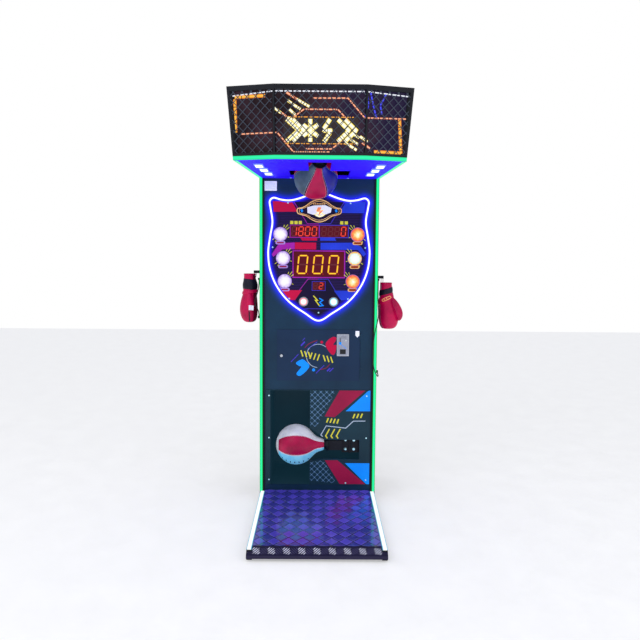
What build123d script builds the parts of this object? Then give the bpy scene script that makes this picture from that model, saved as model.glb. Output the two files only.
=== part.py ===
# Arcade punch and kick machine: cabinet, canopy head, platform, punch arm, kick arm, doors, gloves.
# Millimetres. +X is the player's right, +Y goes into the cabinet, +Z is up. The origin is on the floor,
# on the centre line, at the front face of the front panel.
from build123d import *
from math import acos, atan2, cos, hypot, radians, sin, sqrt, tan
import os

# ---- overall sizes ----
cabinet_width = 675.0
cabinet_depth = 440.0
total_height = 2178.5
platform_reach = 788.0        # nose of the platform, ahead of the front panel
tread_height = 57.5
soffit_height = 1866.0

# ---- boards and sheets ----
side_board = 18.0
edge_forward = 12.0           # side boards stand this far ahead of the front panel
panel_board = 12.0
back_board = 15.0
side_clear_floor = 4.0
skin = 4.0                    # printed acrylic sheets on the front
light_strip = 4.0
strip_width = 16.0

# ---- base and platform ----
frame_height = 40.0
frame_rail = 30.0
frame_wall = 3.0
tread_thickness = 2.5
tread_reach = 743.0
tread_half = cabinet_width / 2 - 29.5
side_rail_width = 26.0
rail_light = 7.5
nose_drop = 27.5
nose_floor_gap = 14.0
nose_cap = 20.0               # the nose wraps this far back over the ends of the side rails

# ---- head ----
knee_half = 207.0
head_half = cabinet_width / 2 + 62.5   # half width at the front corners, at the soffit
head_flare = 20.0             # how much wider each side is at the top
head_reach = 715.0            # centre facet, at the soffit
head_lean = 70.0              # how far the facets lean forward to the top
corner_setback = 50.0
canopy_strip = 17.0
canopy_depth = 6.0
head_board = 12.0
marquee_inset = 20.0
marquee_bar = 12.0
marquee_top_bar = 20.0
mesh_pitch = 41.0
mesh_wire = 3.5
mesh_thickness = 2.0

# ---- openings in the soffit for the punch arm and ball ----
arm_slot_half = 56.0
arm_slot_front = 611.0
ball_slot_half = 160.0
ball_slot_front = 324.0
ball_slot_back = 60.0

# ---- punch arm ----
pivot_y = -565.0
pivot_z = 1975.0
punch_length = 400.0          # pivot to ball centre
punch_rest_tilt = 18.0        # degrees below horizontal when the arm is parked up
punch_lean = 6.0              # degrees that the ball's flange is bent to the player's left
ball_radius = 118.0
ball_neck_radius = 30.0
ball_neck_reach = 164.0       # ball centre to the neck's end
shaft_radius = 12.5
shaft_fit = 0.05
arm_section = 36.0
arm_wall = 3.0
hub_radius = 26.0
collar_radius = 39.0
beam_offset = 170.0           # inner faces of the two head beams
beam_width = 30.0
beam_height = 50.0
strap_y = -400.0              # strap across the beams, above the magnet
magnet_reach = 150.0          # pivot to the magnet, along the parked arm

# ---- kick arm ----
kick_x = -126.0
kick_z = 328.0
kick_hinge_x = 188.5
kick_hinge_y = 22.0
kick_pin_radius = 6.0
kick_knuckle_radius = 9.5
recess_left = -276.0
recess_right = -46.0
recess_bottom = 92.0
recess_top = 655.0
slot_right = 244.0
slot_bottom = 246.0
slot_top = 363.0
chamber_board = 12.0
chamber_back = 405.0
kick_plate_y = 16.0           # front faces of the two bolted plates
kick_bolt_z = (356.0, 302.0)

# ---- front panel fittings ----
window_half = 180.0
window_bottom = 1232.0
window_top = 1640.0
lamp_radius = 40.0
lamp_places = [(219.0, 1554.0), (204.0, 1419.0), (194.0, 1288.0)]
button_x = 86.0
button_z = 1172.0
button_radius = 27.0
button_stem = 12.0             # outer radius of the threaded housing
slide_fit = 0.1
soft_gap = 0.3

# ---- coin door ----
door_half = 238.0
door_bottom = 713.0
door_top = 1010.0
door_lap = 12.0
door_sheet = 3.0
hinge_radius = 2.5
lock_radius = 8.0
lock_x = -212.0
lock_z = 858.0
coin_left = 107.0
coin_right = 177.0
coin_bottom = 858.0
coin_top = 986.0
plate_thickness = 6.0
cam_gap = 2.0                 # lock cam, behind the panel board
escutcheon = 20.5             # square plate round the lock, set on its corner

# ---- rear door ----
rear_half = 230.0
rear_bottom = 720.0
rear_top = 1500.0
rear_gap = 1.5
rear_hinge_radius = 4.0
inlet_x = 220.0
inlet_z = 150.0

# ---- gloves and wheels ----
hook_out = 34.5               # hook pin, out from the side board
holder_plate = 3.5
clip_out = 14.5
hook_y = 100.0
hook_z = {"left": 1338.0, "right": 1312.0}
hook_pin = 4.0
tether_diameter = 5.5
wheel_radius = 24.0
wheel_width = 22.0
wheel_x = 250.0
wheel_clear_floor = 3.0

half = cabinet_width / 2
inner = half - side_board
hook_x = half + hook_out
deck_z = tread_height - tread_thickness
panel_half = inner - 8.5
chamber_right = inner - 19.5
top_underside = total_height - head_board
hinge_x = door_half + hinge_radius + 0.5
hinge_y = -hinge_radius - 0.2
cam_y = panel_board + cam_gap
return_z = (coin_bottom + 12, coin_bottom + 40)
reject_x = coin_right - 18
reject_z = coin_top - 36


def block(x0, x1, y0, y1, z0, z1):
    return Pos((x0 + x1) / 2, (y0 + y1) / 2, (z0 + z1) / 2) * Box(x1 - x0, y1 - y0, z1 - z0)


def rod_x(x0, x1, y, z, radius):
    return Pos((x0 + x1) / 2, y, z) * Rot(0, 90, 0) * Cylinder(radius, x1 - x0)


def rod_y(x, y0, y1, z, radius):
    return Pos(x, (y0 + y1) / 2, z) * Rot(90, 0, 0) * Cylinder(radius, y1 - y0)


def rod_z(x, y, z0, z1, radius):
    return Pos(x, y, (z0 + z1) / 2) * Cylinder(radius, z1 - z0)


def mirrored(solid):
    """The same piece on the other side of the machine."""
    return mirror(solid, about=Plane.YZ)


def both_sides(solid):
    return [solid, mirrored(solid)]


def front_sheet(outline, y0, y1):
    """A flat piece from an outline in x, z, between two depths."""
    face = make_face(Polyline([(x, z) for x, z in outline], close=True))
    return Pos(0, y1, 0) * Rot(90, 0, 0) * extrude(face, y1 - y0)


def save(name, *solids):
    parts = [s for item in solids for s in (item if isinstance(item, list) else [item])]
    bodies = [b for part in parts for b in part.solids()]
    shape = bodies[0] if len(bodies) == 1 else Compound(children=bodies)
    export_step(shape, f"parts/{name}.step")


# ---- base, platform and cabinet ----

def channel_x(x0, x1, y_web, direction):
    """Open channel along X, its web at y_web and its flanges pointing along direction in Y."""
    y0, y1 = sorted((y_web, y_web + direction * (frame_rail + 10)))
    solid = block(x0, x1, y0, y1, 0, frame_height)
    hollow0, hollow1 = sorted((y_web + direction * frame_wall, y_web + direction * (frame_rail + 20)))
    return solid - block(x0 - 1, x1 + 1, hollow0, hollow1, frame_wall, frame_height - frame_wall)


def channel_y(x_web, direction, y0, y1):
    """Open channel along Y, its web at x_web and its flanges pointing along direction in X."""
    x0, x1 = sorted((x_web, x_web + direction * frame_rail))
    solid = block(x0, x1, y0, y1, 0, frame_height)
    hollow0, hollow1 = sorted((x_web + direction * frame_wall, x_web + direction * (frame_rail + 10)))
    return solid - block(hollow0, hollow1, y0 - 1, y1 + 1, frame_wall, frame_height - frame_wall)


def wheel_ears(side):
    """Two ears and an axle behind the base frame for one transport wheel."""
    axle_y = cabinet_depth + wheel_radius + 3
    axle_z = wheel_radius + wheel_clear_floor
    pieces = []
    for offset in (-wheel_width / 2 - 5, wheel_width / 2 + 2):
        x0 = side * wheel_x + offset
        ear = block(x0, x0 + 3, cabinet_depth, axle_y + 8, axle_z - 10, frame_height)
        pieces.append(ear - rod_x(x0 - 1, x0 + 4, axle_y, axle_z, 4))
    reach = wheel_width / 2 + 7
    axle = rod_x(side * wheel_x - reach, side * wheel_x + reach, axle_y, axle_z, 4)
    return pieces, axle


def make_base():
    outer = tread_half
    frame = channel_x(-inner, inner, -edge_forward, 1)
    frame += channel_x(-inner, inner, cabinet_depth, -1)
    frame += channel_x(-outer + 1, outer - 1, -tread_reach + 3, 1)
    frame += channel_x(-outer + 1, outer - 1, -tread_reach / 2, 1)
    for side in (1, -1):
        frame += channel_y(side * outer, -side, -tread_reach + 3, -edge_forward + 1)
        frame += channel_y(side * inner, -side, -edge_forward, cabinet_depth)
        ears, axle = wheel_ears(side)
        for ear in ears:
            frame += ear
        frame -= axle
    axles = [wheel_ears(side)[1] for side in (1, -1)]
    save("base_frame", frame, axles)
    save("deck_board", block(-outer, outer, -tread_reach, 0, frame_height, deck_z))
    save("tread_plate", block(-outer, outer, -tread_reach, 0, deck_z, tread_height))


def make_nose():
    """Folded nose: a sloping tread face, then a short lip down to the floor."""
    y_back, y_front = -tread_reach, -platform_reach
    low = tread_height - nose_drop
    sheet = tread_thickness
    points = [(y_back, tread_height), (y_front, low), (y_front, nose_floor_gap),
              (y_front + sheet, nose_floor_gap), (y_front + sheet, low - 1.5), (y_back, deck_z)]
    face = make_face(Polyline([(0, y, z) for y, z in points], close=True))
    nose = Pos(-tread_half, 0, 0) * extrude(face, 2 * tread_half, dir=(1, 0, 0))
    cap_back = y_front + nose_cap
    cap_top = low + nose_drop * nose_cap / (platform_reach - tread_reach)
    points = [(cap_back, cap_top), (y_front, low), (y_front, nose_floor_gap), (cap_back, nose_floor_gap)]
    face = make_face(Polyline([(0, y, z) for y, z in points], close=True))
    cap = Pos(tread_half, 0, 0) * extrude(face, side_rail_width, dir=(1, 0, 0))
    save("nose_plate", nose + cap + mirrored(cap))


def make_platform_sides():
    x1 = tread_half + side_rail_width
    y0, y1 = -platform_reach + nose_cap, -edge_forward - light_strip
    rail = block(tread_half, x1, y0, y1, 0, tread_height - rail_light)
    light = block(tread_half + 1, x1 - 1, y0, y1, tread_height - rail_light, tread_height)
    save("platform_rails", both_sides(rail))
    save("platform_lights", both_sides(light))


def make_cabinet():
    side = block(inner, half, -edge_forward, cabinet_depth, side_clear_floor, top_underside)
    save("side_panel_right", side)
    save("side_panel_left", mirrored(side))
    back = block(-inner, inner, cabinet_depth - back_board, cabinet_depth, frame_height, top_underside)
    back -= block(-rear_half, rear_half, cabinet_depth - 20, cabinet_depth + 5, rear_bottom, rear_top)
    back -= block(inlet_x - 14, inlet_x + 14, cabinet_depth - 20, cabinet_depth + 5,
                  inlet_z - 10, inlet_z + 10)
    save("back_panel", back)
    trim = block(panel_half, inner, -edge_forward + 2, panel_board, tread_height, soffit_height)
    save("panel_trims", both_sides(trim))
    strip0 = half - 1 - strip_width
    strip = block(strip0, strip0 + strip_width, -edge_forward - light_strip, -edge_forward,
                  tread_height, soffit_height)
    save("edge_lights", both_sides(strip))


def kick_cutout(grow=0.0):
    """Outline of the kick recess: a tall bay, a funnel and the slot for the arm."""
    return [(recess_left - grow, recess_bottom - grow), (recess_right + grow, recess_bottom - grow),
            (recess_right + grow, slot_bottom - 12 - grow), (40, slot_bottom + 4 - grow),
            (slot_right + grow, slot_bottom - grow), (slot_right + grow, slot_top + grow),
            (40, slot_top + grow), (30, slot_top + 15 + grow),
            (recess_right + grow, slot_top + 70 + grow),
            (recess_right + grow, recess_top + grow), (recess_left - grow, recess_top + grow)]


def make_front_panel():
    top = soffit_height + head_board
    panel = block(-panel_half, panel_half, 0, panel_board, tread_height, top)
    panel -= block(-window_half, window_half, -1, 20, window_bottom, window_top)
    panel -= block(-door_half + door_lap, door_half - door_lap, -1, 20,
                   door_bottom + door_lap, door_top - door_lap)
    panel -= front_sheet(kick_cutout(1.0), -1, 20)
    for side in (1, -1):
        panel -= rod_y(side * button_x, -1, 20, button_z, button_stem)
    save("front_panel", panel)


def make_kick_chamber():
    left, right = recess_left - 4, chamber_right
    floor, ceiling = recess_bottom, recess_top + 2
    y0, y1 = panel_board, chamber_back
    walls = [block(left - chamber_board, left, y0, y1, floor, ceiling),
             block(right, right + chamber_board, y0, y1, floor, ceiling),
             block(left - chamber_board, right + chamber_board, y0, y1, floor - chamber_board, floor),
             block(left - chamber_board, right + chamber_board, y0, y1, ceiling, ceiling + chamber_board),
             block(left - chamber_board, right + chamber_board, y1, y1 + chamber_board,
                   floor - chamber_board, ceiling + chamber_board)]
    save("kick_chamber", walls)


def make_art_panel():
    sheet = block(-panel_half + 6, panel_half - 6, -skin, 0, recess_bottom, recess_top + 3)
    save("kick_art_panel", sheet - front_sheet(kick_cutout(), -skin - 1, 1))


# ---- shield, displays, lamps and buttons ----

shield_side = [(0, 1063), (78, 1106), (169, 1171), (238, 1257), (277, 1352), (288, 1450),
               (277, 1540), (264, 1622), (275, 1700), (279, 1738), (258, 1757), (215, 1747),
               (170, 1743), (122, 1752), (60, 1774), (0, 1800)]


def shield_outline(grow):
    """Closed spline round the shield, moved outward by grow along each point's normal."""
    loop = shield_side + [(-x, z) for x, z in reversed(shield_side[1:-1])]
    count = len(loop)
    moved = []
    for i, (x, z) in enumerate(loop):
        (xa, za), (xb, zb) = loop[i - 1], loop[(i + 1) % count]
        length = hypot(xb - xa, zb - za)
        moved.append((x + grow * (zb - za) / length, z - grow * (xb - xa) / length))
    return Spline(moved, periodic=True)


def shield_solid(grow, y0, y1):
    face = make_face(shield_outline(grow))
    return Pos(0, y1, 0) * Rot(90, 0, 0) * extrude(face, y1 - y0)


displays = {"previous": (-162, -2, 1539, 1604), "record": (4, 164, 1539, 1604),
            "credit": (-35, 35, 1239, 1284), "score": (-143, 143, 1314, 1457)}


def make_shield():
    sheet = shield_solid(0, -skin, 0)
    for x0, x1, z0, z1 in displays.values():
        sheet -= block(x0, x1, -skin - 1, 1, z0, z1)
    for side in (1, -1):
        sheet -= rod_y(side * button_x, -skin - 1, 1, button_z, button_stem)
    save("shield_panel", sheet)
    save("shield_neon", shield_solid(6, -skin - 12, -skin) - shield_solid(-6, -skin - 13, 1))


def make_displays():
    modules = {}
    for name, (x0, x1, z0, z1) in displays.items():
        modules[name] = block(x0, x1, -skin + 1, 16, z0, z1)
    save("score_display", modules.pop("score"))
    save("small_displays", list(modules.values()))


def make_lamps():
    lamps = []
    for x, z in lamp_places:
        rim = rod_y(x, -skin - 5, -skin, z, lamp_radius)
        dome_radius = lamp_radius + 22
        ball = Pos(x, -skin - 5 + sqrt(dome_radius ** 2 - (lamp_radius - 3) ** 2), z) * Sphere(dome_radius)
        dome = ball & block(x - lamp_radius, x + lamp_radius, -60, -skin - 5,
                            z - lamp_radius, z + lamp_radius)
        lamps += both_sides(rim + dome)
    save("score_lamps", lamps)


def make_buttons():
    face_y = -skin
    bore = 9.3
    housings = []
    for side in (1, -1):
        x = side * button_x
        bezel = rod_y(x, face_y - 8, face_y, button_z, button_radius)
        bezel -= rod_y(x, face_y - 9, face_y - 2, button_z, 20 + soft_gap)
        bezel += rod_y(x, face_y, 34, button_z, button_stem)
        bezel -= rod_y(x, face_y - 9, 35, button_z, bore)
        nut = rod_y(x, panel_board, panel_board + 6, button_z, 19) - rod_y(x, 0, 30, button_z, button_stem)
        switch = block(x - 10, x + 10, 34, 58, button_z - 14, button_z + 14)
        housings += [bezel, nut, switch]
    save("button_housings", housings)
    for name, side in (("start_button_red", -1), ("start_button_blue", 1)):
        x = side * button_x
        cap = rod_y(x, face_y - 12, face_y - 6, button_z, 20)
        cap = fillet(cap.edges().filter_by(GeomType.CIRCLE).sort_by(Axis.Y)[0], 2)
        save(name, cap + rod_y(x, face_y - 6, 25, button_z, bore - soft_gap))


def dome_screw_y(x, y, z, radius, height):
    """A low domed head on a face that looks towards the player."""
    head = rod_y(x, y - height, y, z, radius)
    return fillet(head.edges().filter_by(GeomType.CIRCLE).sort_by(Axis.Y)[0], height * 0.6)


def make_screws():
    screws = [dome_screw_y(0, -skin, 1109, 4.5, 2.5)]
    for x, z in ((177, 1730), (263, 1480), (168, 1189)):
        screws += both_sides(dome_screw_y(x, -skin, z, 4.5, 2.5))
    for z in (624, 374, 122):
        screws += both_sides(dome_screw_y(panel_half - 27, -skin, z, 4.5, 2.5))
    screws.append(dome_screw_y(166, -skin, 103, 4.5, 2.5))
    for z in kick_bolt_z:
        screws.append(dome_screw_y(213, kick_plate_y, z, 8, 6))
    screws += both_sides(rod_z(160, -27, soffit_height - 2.5, soffit_height, 4.5))
    save("panel_screws", screws)


# ---- head ----

def rim(t, depths):
    """Plan corners of the head at height fraction t, each edge moved inward by its own depth."""
    y_centre = -head_reach - head_lean * t
    corner = head_half + head_flare * t
    slope = corner_setback / (head_half - knee_half)
    y_corner = y_centre + (corner - knee_half) * slope
    back = half + (head_half - half) * edge_forward / head_reach
    line = [(-back, -edge_forward), (-corner, y_corner), (-knee_half, y_centre),
            (knee_half, y_centre), (corner, y_corner), (back, -edge_forward)]
    moved = []
    for i in range(5):
        (xa, ya), (xb, yb) = line[i], line[i + 1]
        length = hypot(xb - xa, yb - ya)
        nx, ny = -(yb - ya) / length, (xb - xa) / length
        d = depths[i]
        moved.append(((xa + nx * d, ya + ny * d), (xb + nx * d, yb + ny * d)))
    corners = []
    for i in range(6):
        if i in (0, 5):
            (xa, ya), (xb, yb) = moved[0] if i == 0 else moved[4]
            f = (-edge_forward - ya) / (yb - ya)
            corners.append((xa + f * (xb - xa), -edge_forward))
        else:
            corners.append(crossing(moved[i - 1], moved[i]))
    return corners


def crossing(first, second):
    """Where two plan lines meet."""
    (x1, y1), (x2, y2) = first
    (x3, y3), (x4, y4) = second
    d = (x1 - x2) * (y3 - y4) - (y1 - y2) * (x3 - x4)
    a, b = x1 * y2 - y1 * x2, x3 * y4 - y3 * x4
    return ((a * (x3 - x4) - (x1 - x2) * b) / d, (a * (y3 - y4) - (y1 - y2) * b) / d)


def head_bar(edge, z0, z1, d0, d1, span=(0.0, 1.0)):
    """A strip of one head facet between two heights, two depths and two fractions of its length."""
    rings = []
    for z in (z0, z1):
        t = (z - soffit_height) / (total_height - soffit_height)
        outer, deep = rim(t, [d0] * 5), rim(t, [d1] * 5)
        quad = []
        for ring, f in ((outer, span[0]), (outer, span[1]), (deep, span[1]), (deep, span[0])):
            (xa, ya), (xb, yb) = ring[edge], ring[edge + 1]
            quad.append((xa + f * (xb - xa), ya + f * (yb - ya), z))
        rings.append(Wire.make_polygon([Vector(*p) for p in quad], close=True))
    return Solid.make_loft(rings, ruled=True)


facets = (1, 2, 3)
mesh_bottom = soffit_height + canopy_strip + marquee_bar
mesh_top = total_height - marquee_top_bar


def make_head_shell():
    boards = [head_bar(edge, soffit_height + head_board, top_underside, canopy_depth, 18) for edge in (0, 4)]
    save("head_sides", boards)
    d = canopy_depth
    under = (top_underside - soffit_height) / (total_height - soffit_height)
    top = rim(under, [d, marquee_inset, marquee_inset, marquee_inset, d])
    plan = top + [(half, -edge_forward), (half, cabinet_depth), (-half, cabinet_depth),
                  (-half, -edge_forward)]
    cover = extrude(make_face(Polyline(plan, close=True)), head_board)
    save("head_top_cover", Pos(0, 0, top_underside) * cover)
    plan = rim(0, [d] * 5)
    plan += [(inner, -edge_forward), (inner, 0), (-inner, 0), (-inner, -edge_forward)]
    soffit = Pos(0, 0, soffit_height) * extrude(make_face(Polyline(plan, close=True)), head_board)
    z0, z1 = soffit_height - 1, soffit_height + head_board + 1
    soffit -= block(-arm_slot_half, arm_slot_half, -arm_slot_front, -ball_slot_front + 1, z0, z1)
    soffit -= block(-ball_slot_half, ball_slot_half, -ball_slot_front, -ball_slot_back, z0, z1)
    save("soffit_panel", soffit)
    strips = [head_bar(edge, soffit_height, soffit_height + canopy_strip, 0, canopy_depth)
              for edge in range(5)]
    save("canopy_light", strips)
    lamps = []
    for y in (-500, -357, -214):
        x = half - 37.5 - (y + 560) * 0.085
        lamps += both_sides(block(x - 22, x + 22, y - 62, y + 62, soffit_height - 4, soffit_height))
    save("soffit_lamps", lamps)


def make_marquee():
    z0, z1 = soffit_height + canopy_strip, total_height
    bars = []
    for edge in facets:
        bars.append(head_bar(edge, z0, mesh_bottom, 0, marquee_inset))
        bars.append(head_bar(edge, mesh_top, z1, 0, marquee_inset))
    for edge, span in ((1, (0, 0.05)), (1, (0.98, 1)), (2, (0, 0.01)), (2, (0.99, 1)),
                       (3, (0, 0.02)), (3, (0.95, 1))):
        bars.append(head_bar(edge, mesh_bottom, mesh_top, 0, marquee_inset, span))
    save("marquee_frame", bars)
    spans = {1: (0.06, 0.965), 2: (0.014, 0.986), 3: (0.035, 0.94)}
    save("marquee_screen", [head_bar(e, mesh_bottom, mesh_top, 14, 18, spans[e]) for e in facets])
    save("marquee_mesh", [mesh_facet(e, spans[e]) for e in facets])


def mesh_facet(edge, span):
    """Expanded metal over one facet: a thin sheet with a staggered pattern of diamond holes."""
    low, high = rim(0, [canopy_depth - 2] * 5), rim(1, [canopy_depth - 2] * 5)

    def corner(f, z):
        t = (z - soffit_height) / (total_height - soffit_height)
        xa, ya = (low[edge][i] + t * (high[edge][i] - low[edge][i]) for i in (0, 1))
        xb, yb = (low[edge + 1][i] + t * (high[edge + 1][i] - low[edge + 1][i]) for i in (0, 1))
        return Vector(xa + f * (xb - xa), ya + f * (yb - ya), z)

    corners = [corner(span[0], mesh_bottom + 1), corner(span[1], mesh_bottom + 1),
               corner(span[1], mesh_top - 1), corner(span[0], mesh_top - 1)]
    along = (corners[1] - corners[0]).normalized()
    normal = along.cross(corners[3] - corners[0]).normalized()
    up = normal.cross(along)
    plane = Plane(origin=corners[0], x_dir=along, z_dir=normal)
    flat = [((c - corners[0]).dot(along), (c - corners[0]).dot(up)) for c in corners]
    margin = 6.0
    size = mesh_pitch / 2 - mesh_wire / sqrt(2)
    left_slope = flat[3][0] / flat[3][1]
    right_slope = (flat[2][0] - flat[1][0]) / flat[2][1]
    holes = []
    rows = int(flat[2][1] / (mesh_pitch / 2)) + 1
    columns = int(flat[2][0] / mesh_pitch) + 3
    for row in range(rows):
        v = margin + size + row * mesh_pitch / 2
        if v + size > flat[2][1] - margin:
            continue
        for column in range(-1, columns):
            u = margin + size + (column + 0.5 * (row % 2)) * mesh_pitch
            if u - size < left_slope * v + margin or u + size > flat[1][0] + right_slope * v - margin:
                continue
            holes.append([(u - size, v), (u, v - size), (u + size, v), (u, v + size)])
    outer = Wire.make_polygon([Vector(u, v, 0) for u, v in flat], close=True)
    inners = [Wire.make_polygon([Vector(u, v, 0) for u, v in hole], close=True) for hole in holes]
    sheet = Solid.extrude(Face(outer, inners), Vector(0, 0, mesh_thickness))
    return plane * sheet


def make_head_frame():
    """Two beams from the cabinet to the canopy, cross tubes, and a strap that carries the magnet."""
    z0, z1 = pivot_z - beam_height / 2, pivot_z + beam_height / 2
    y_front, y_back = -650.0, cabinet_depth - back_board
    pieces = None
    for side in (1, -1):
        x0, x1 = sorted((side * beam_offset, side * (beam_offset + beam_width)))
        beam = block(x0, x1, y_front, y_back, z0, z1)
        h0, h1 = sorted((side * (beam_offset + 4), side * (beam_offset + beam_width + 5)))
        beam -= block(h0, h1, y_front - 1, y_back + 1, z0 + 4, z1 - 4)
        pieces = beam if pieces is None else pieces + beam
    for y0, y1, reach in ((y_front, y_front + 30, head_half - 25), (14, 44, inner),
                          (y_back - 30, y_back, inner)):
        pieces += block(-reach, reach, y0, y1, z0 + 4, z1 - 4)
    strap_half = beam_offset + beam_width
    pieces += block(-strap_half, strap_half, strap_y - 30, strap_y + 30, z1, z1 + 6)
    save("head_frame", pieces)
    blocks = []
    for side in (1, -1):
        x0, x1 = sorted((side * (beam_offset - 32), side * beam_offset))
        body = block(x0, x1, pivot_y - 30, pivot_y + 30, pivot_z - 30, pivot_z + 30)
        body = fillet(body.edges().filter_by(Axis.X), 8)
        blocks.append(body - rod_x(x0 - 1, x1 + 1, pivot_y, pivot_z, shaft_radius + shaft_fit))
    save("punch_bearings", blocks)


# ---- punch arm, drawn along +Y from its pivot and then tilted down to where it is parked ----

punch_place = Pos(0, pivot_y, pivot_z) * Rot(-punch_rest_tilt, 0, 0)


def pear(radius, neck_radius, neck_reach):
    """A pear ball about the Y axis: a sphere at the origin and a tangent cone to its neck on -Y."""
    reach = hypot(neck_reach, neck_radius)
    angle = atan2(neck_radius, neck_reach) + acos(radius / reach)
    x, y = radius * sin(angle), -radius * cos(angle)
    profile = [Line((0, -neck_reach), (neck_radius, -neck_reach)), Line((neck_radius, -neck_reach), (x, y)),
               ThreePointArc((x, y), (radius, 0), (0, radius)), Line((0, radius), (0, -neck_reach))]
    return revolve(make_face(profile), Axis.Y)


def make_punch():
    neck = punch_length - ball_neck_reach
    collar_start = neck - 25
    lean = Pos(0, collar_start, 0) * Rot(0, 0, punch_lean) * Pos(0, -collar_start, 0)
    save("punch_shaft", punch_place * rod_x(-beam_offset + 2, beam_offset - 2, 0, 0, shaft_radius))
    s = arm_section / 2
    arm = rod_x(-30, 30, 0, 0, hub_radius) + block(-s, s, 15, collar_start + 10, -s, s)
    w = s - arm_wall
    arm -= block(-w, w, hub_radius + 2, collar_start + 11, -w, w)
    arm -= lean * block(-2 * s, 2 * s, collar_start, neck, -2 * s, 2 * s)
    arm -= rod_x(-31, 31, 0, 0, shaft_radius)
    collar = rod_y(0, collar_start, collar_start + 6, 0, collar_radius)
    collar += rod_y(0, collar_start + 6, neck, 0, ball_neck_radius - 4)
    save("punch_arm", punch_place * arm, punch_place * lean * collar)
    ball = pear(ball_radius, ball_neck_radius, ball_neck_reach)
    save("punch_ball", punch_place * lean * Pos(0, punch_length, 0) * ball)
    magnet = rod_z(0, magnet_reach, s + 0.5, s + 30, 24) + rod_z(0, magnet_reach, s + 30, s + 90, 9)
    magnet = punch_place * magnet
    save("holding_magnet", magnet - block(-60, 60, -700, 0, pivot_z + beam_height / 2, 2200))


# ---- kick arm ----

def make_kick():
    z0, z1 = kick_z - 45, kick_z + 47
    third = (z1 - z0) / 3
    x, y, r = kick_hinge_x, kick_hinge_y, kick_knuckle_radius
    plate_back = kick_plate_y + 8
    post = block(x + 42, chamber_right, kick_plate_y + 2, 60, z0, z1)
    fixed = block(x + 2, x + 48, kick_plate_y, plate_back, z0, z1) + post
    fixed += rod_z(x, y, z0, z1, r)
    middle = block(x - 25, x + r + 2, y - 15, y + 15, z0 + third - 0.5, z1 - third + 0.5)
    fixed -= middle
    fixed -= rod_z(x, y, z0 - 1, z1 + 1, kick_pin_radius)
    pin = rod_z(x, y, z0 - 4, z1 + 30, kick_pin_radius) + rod_z(x, y, z1 + 30, z1 + 34, 9)
    save("kick_bracket", fixed, pin)
    spring = rod_z(x, y, z1 + 2, z1 + 28, 9.5) - rod_z(x, y, z1, z1 + 30, 7)
    save("kick_spring", spring)

    leaf = block(x - 46, x - 2, kick_plate_y, plate_back, z0, z1)
    leaf -= rod_z(x, y, z0 - 1, z0 + third + 0.5, r + 1) + rod_z(x, y, z1 - third - 0.5, z1 + 1, r + 1)
    leaf += rod_z(x, y, z0 + third, z1 - third, r)
    neck_end = kick_x + ball_neck_reach
    leaf += block(neck_end + 24, x - 44, y - 20, y + 20, kick_z - 29, kick_z + 29)
    turned = Pos(neck_end + 18, y, kick_z) * Rot(0, 90, 0) * Cylinder(36, 12)
    turned += Pos(neck_end + 6, y, kick_z) * Rot(0, 90, 0) * Cylinder(ball_neck_radius - 4, 12)
    arm = leaf + turned
    arm -= rod_z(x, y, z0 - 1, z1 + 1, kick_pin_radius + shaft_fit)
    bolts = [dome_screw_y(164, kick_plate_y, z, 8, 6) for z in kick_bolt_z]
    save("kick_arm", arm, bolts)
    ball = Rot(0, 0, 90) * pear(ball_radius, ball_neck_radius, ball_neck_reach)
    save("kick_ball", Pos(kick_x, y, kick_z) * ball)


# ---- coin door ----

def knuckles(x, y, z0, z1, radius, count, odd):
    """Every other knuckle of a pin hinge, with a small gap between neighbours."""
    step = (z1 - z0) / count
    return [rod_z(x, y, z0 + i * step + 0.3, z0 + (i + 1) * step - 0.3, radius)
            for i in range(count) if i % 2 == odd]


def make_coin_door():
    x0, x1, z0, z1 = -door_half, door_half, door_bottom, door_top
    lap = door_lap + 4
    sheet = block(x0, x1, -door_sheet, 0, z0, z1)
    flange = block(x0 + lap, x1 - lap, 0, panel_board, z0 + lap, z1 - lap)
    flange -= block(x0 + lap + 2, x1 - lap - 2, -1, 20, z0 + lap + 2, z1 - lap - 2)
    door = sheet + flange
    door -= block(coin_left + 8, coin_right - 8, -5, 20, coin_bottom + 8, coin_top - 8)
    door += Pos(lock_x, -door_sheet - 1, lock_z) * Rot(0, 45, 0) * Box(escutcheon, 2, escutcheon)
    door -= rod_y(lock_x, -9, 20, lock_z, lock_radius + slide_fit)
    for knuckle in knuckles(hinge_x, hinge_y, z0 + 20, z1 - 20, hinge_radius, 5, 1):
        door += knuckle
    for knuckle in knuckles(hinge_x, hinge_y, z0 + 20, z1 - 20, hinge_radius, 5, 1):
        box = knuckle.bounding_box()
        door += block(x1 - 1, hinge_x, hinge_y, hinge_y + 1.5, box.min.Z, box.max.Z)
    door -= rod_z(hinge_x, hinge_y, z0, z1, 1.25 + shaft_fit)
    save("coin_door", door)

    barrel = rod_y(lock_x, -door_sheet - 4, cam_y, lock_z, lock_radius)
    barrel += block(lock_x - 6, lock_x + 6, cam_y, cam_y + 2.5, lock_z - 34, lock_z + 7)
    save("coin_lock", barrel)


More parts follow.
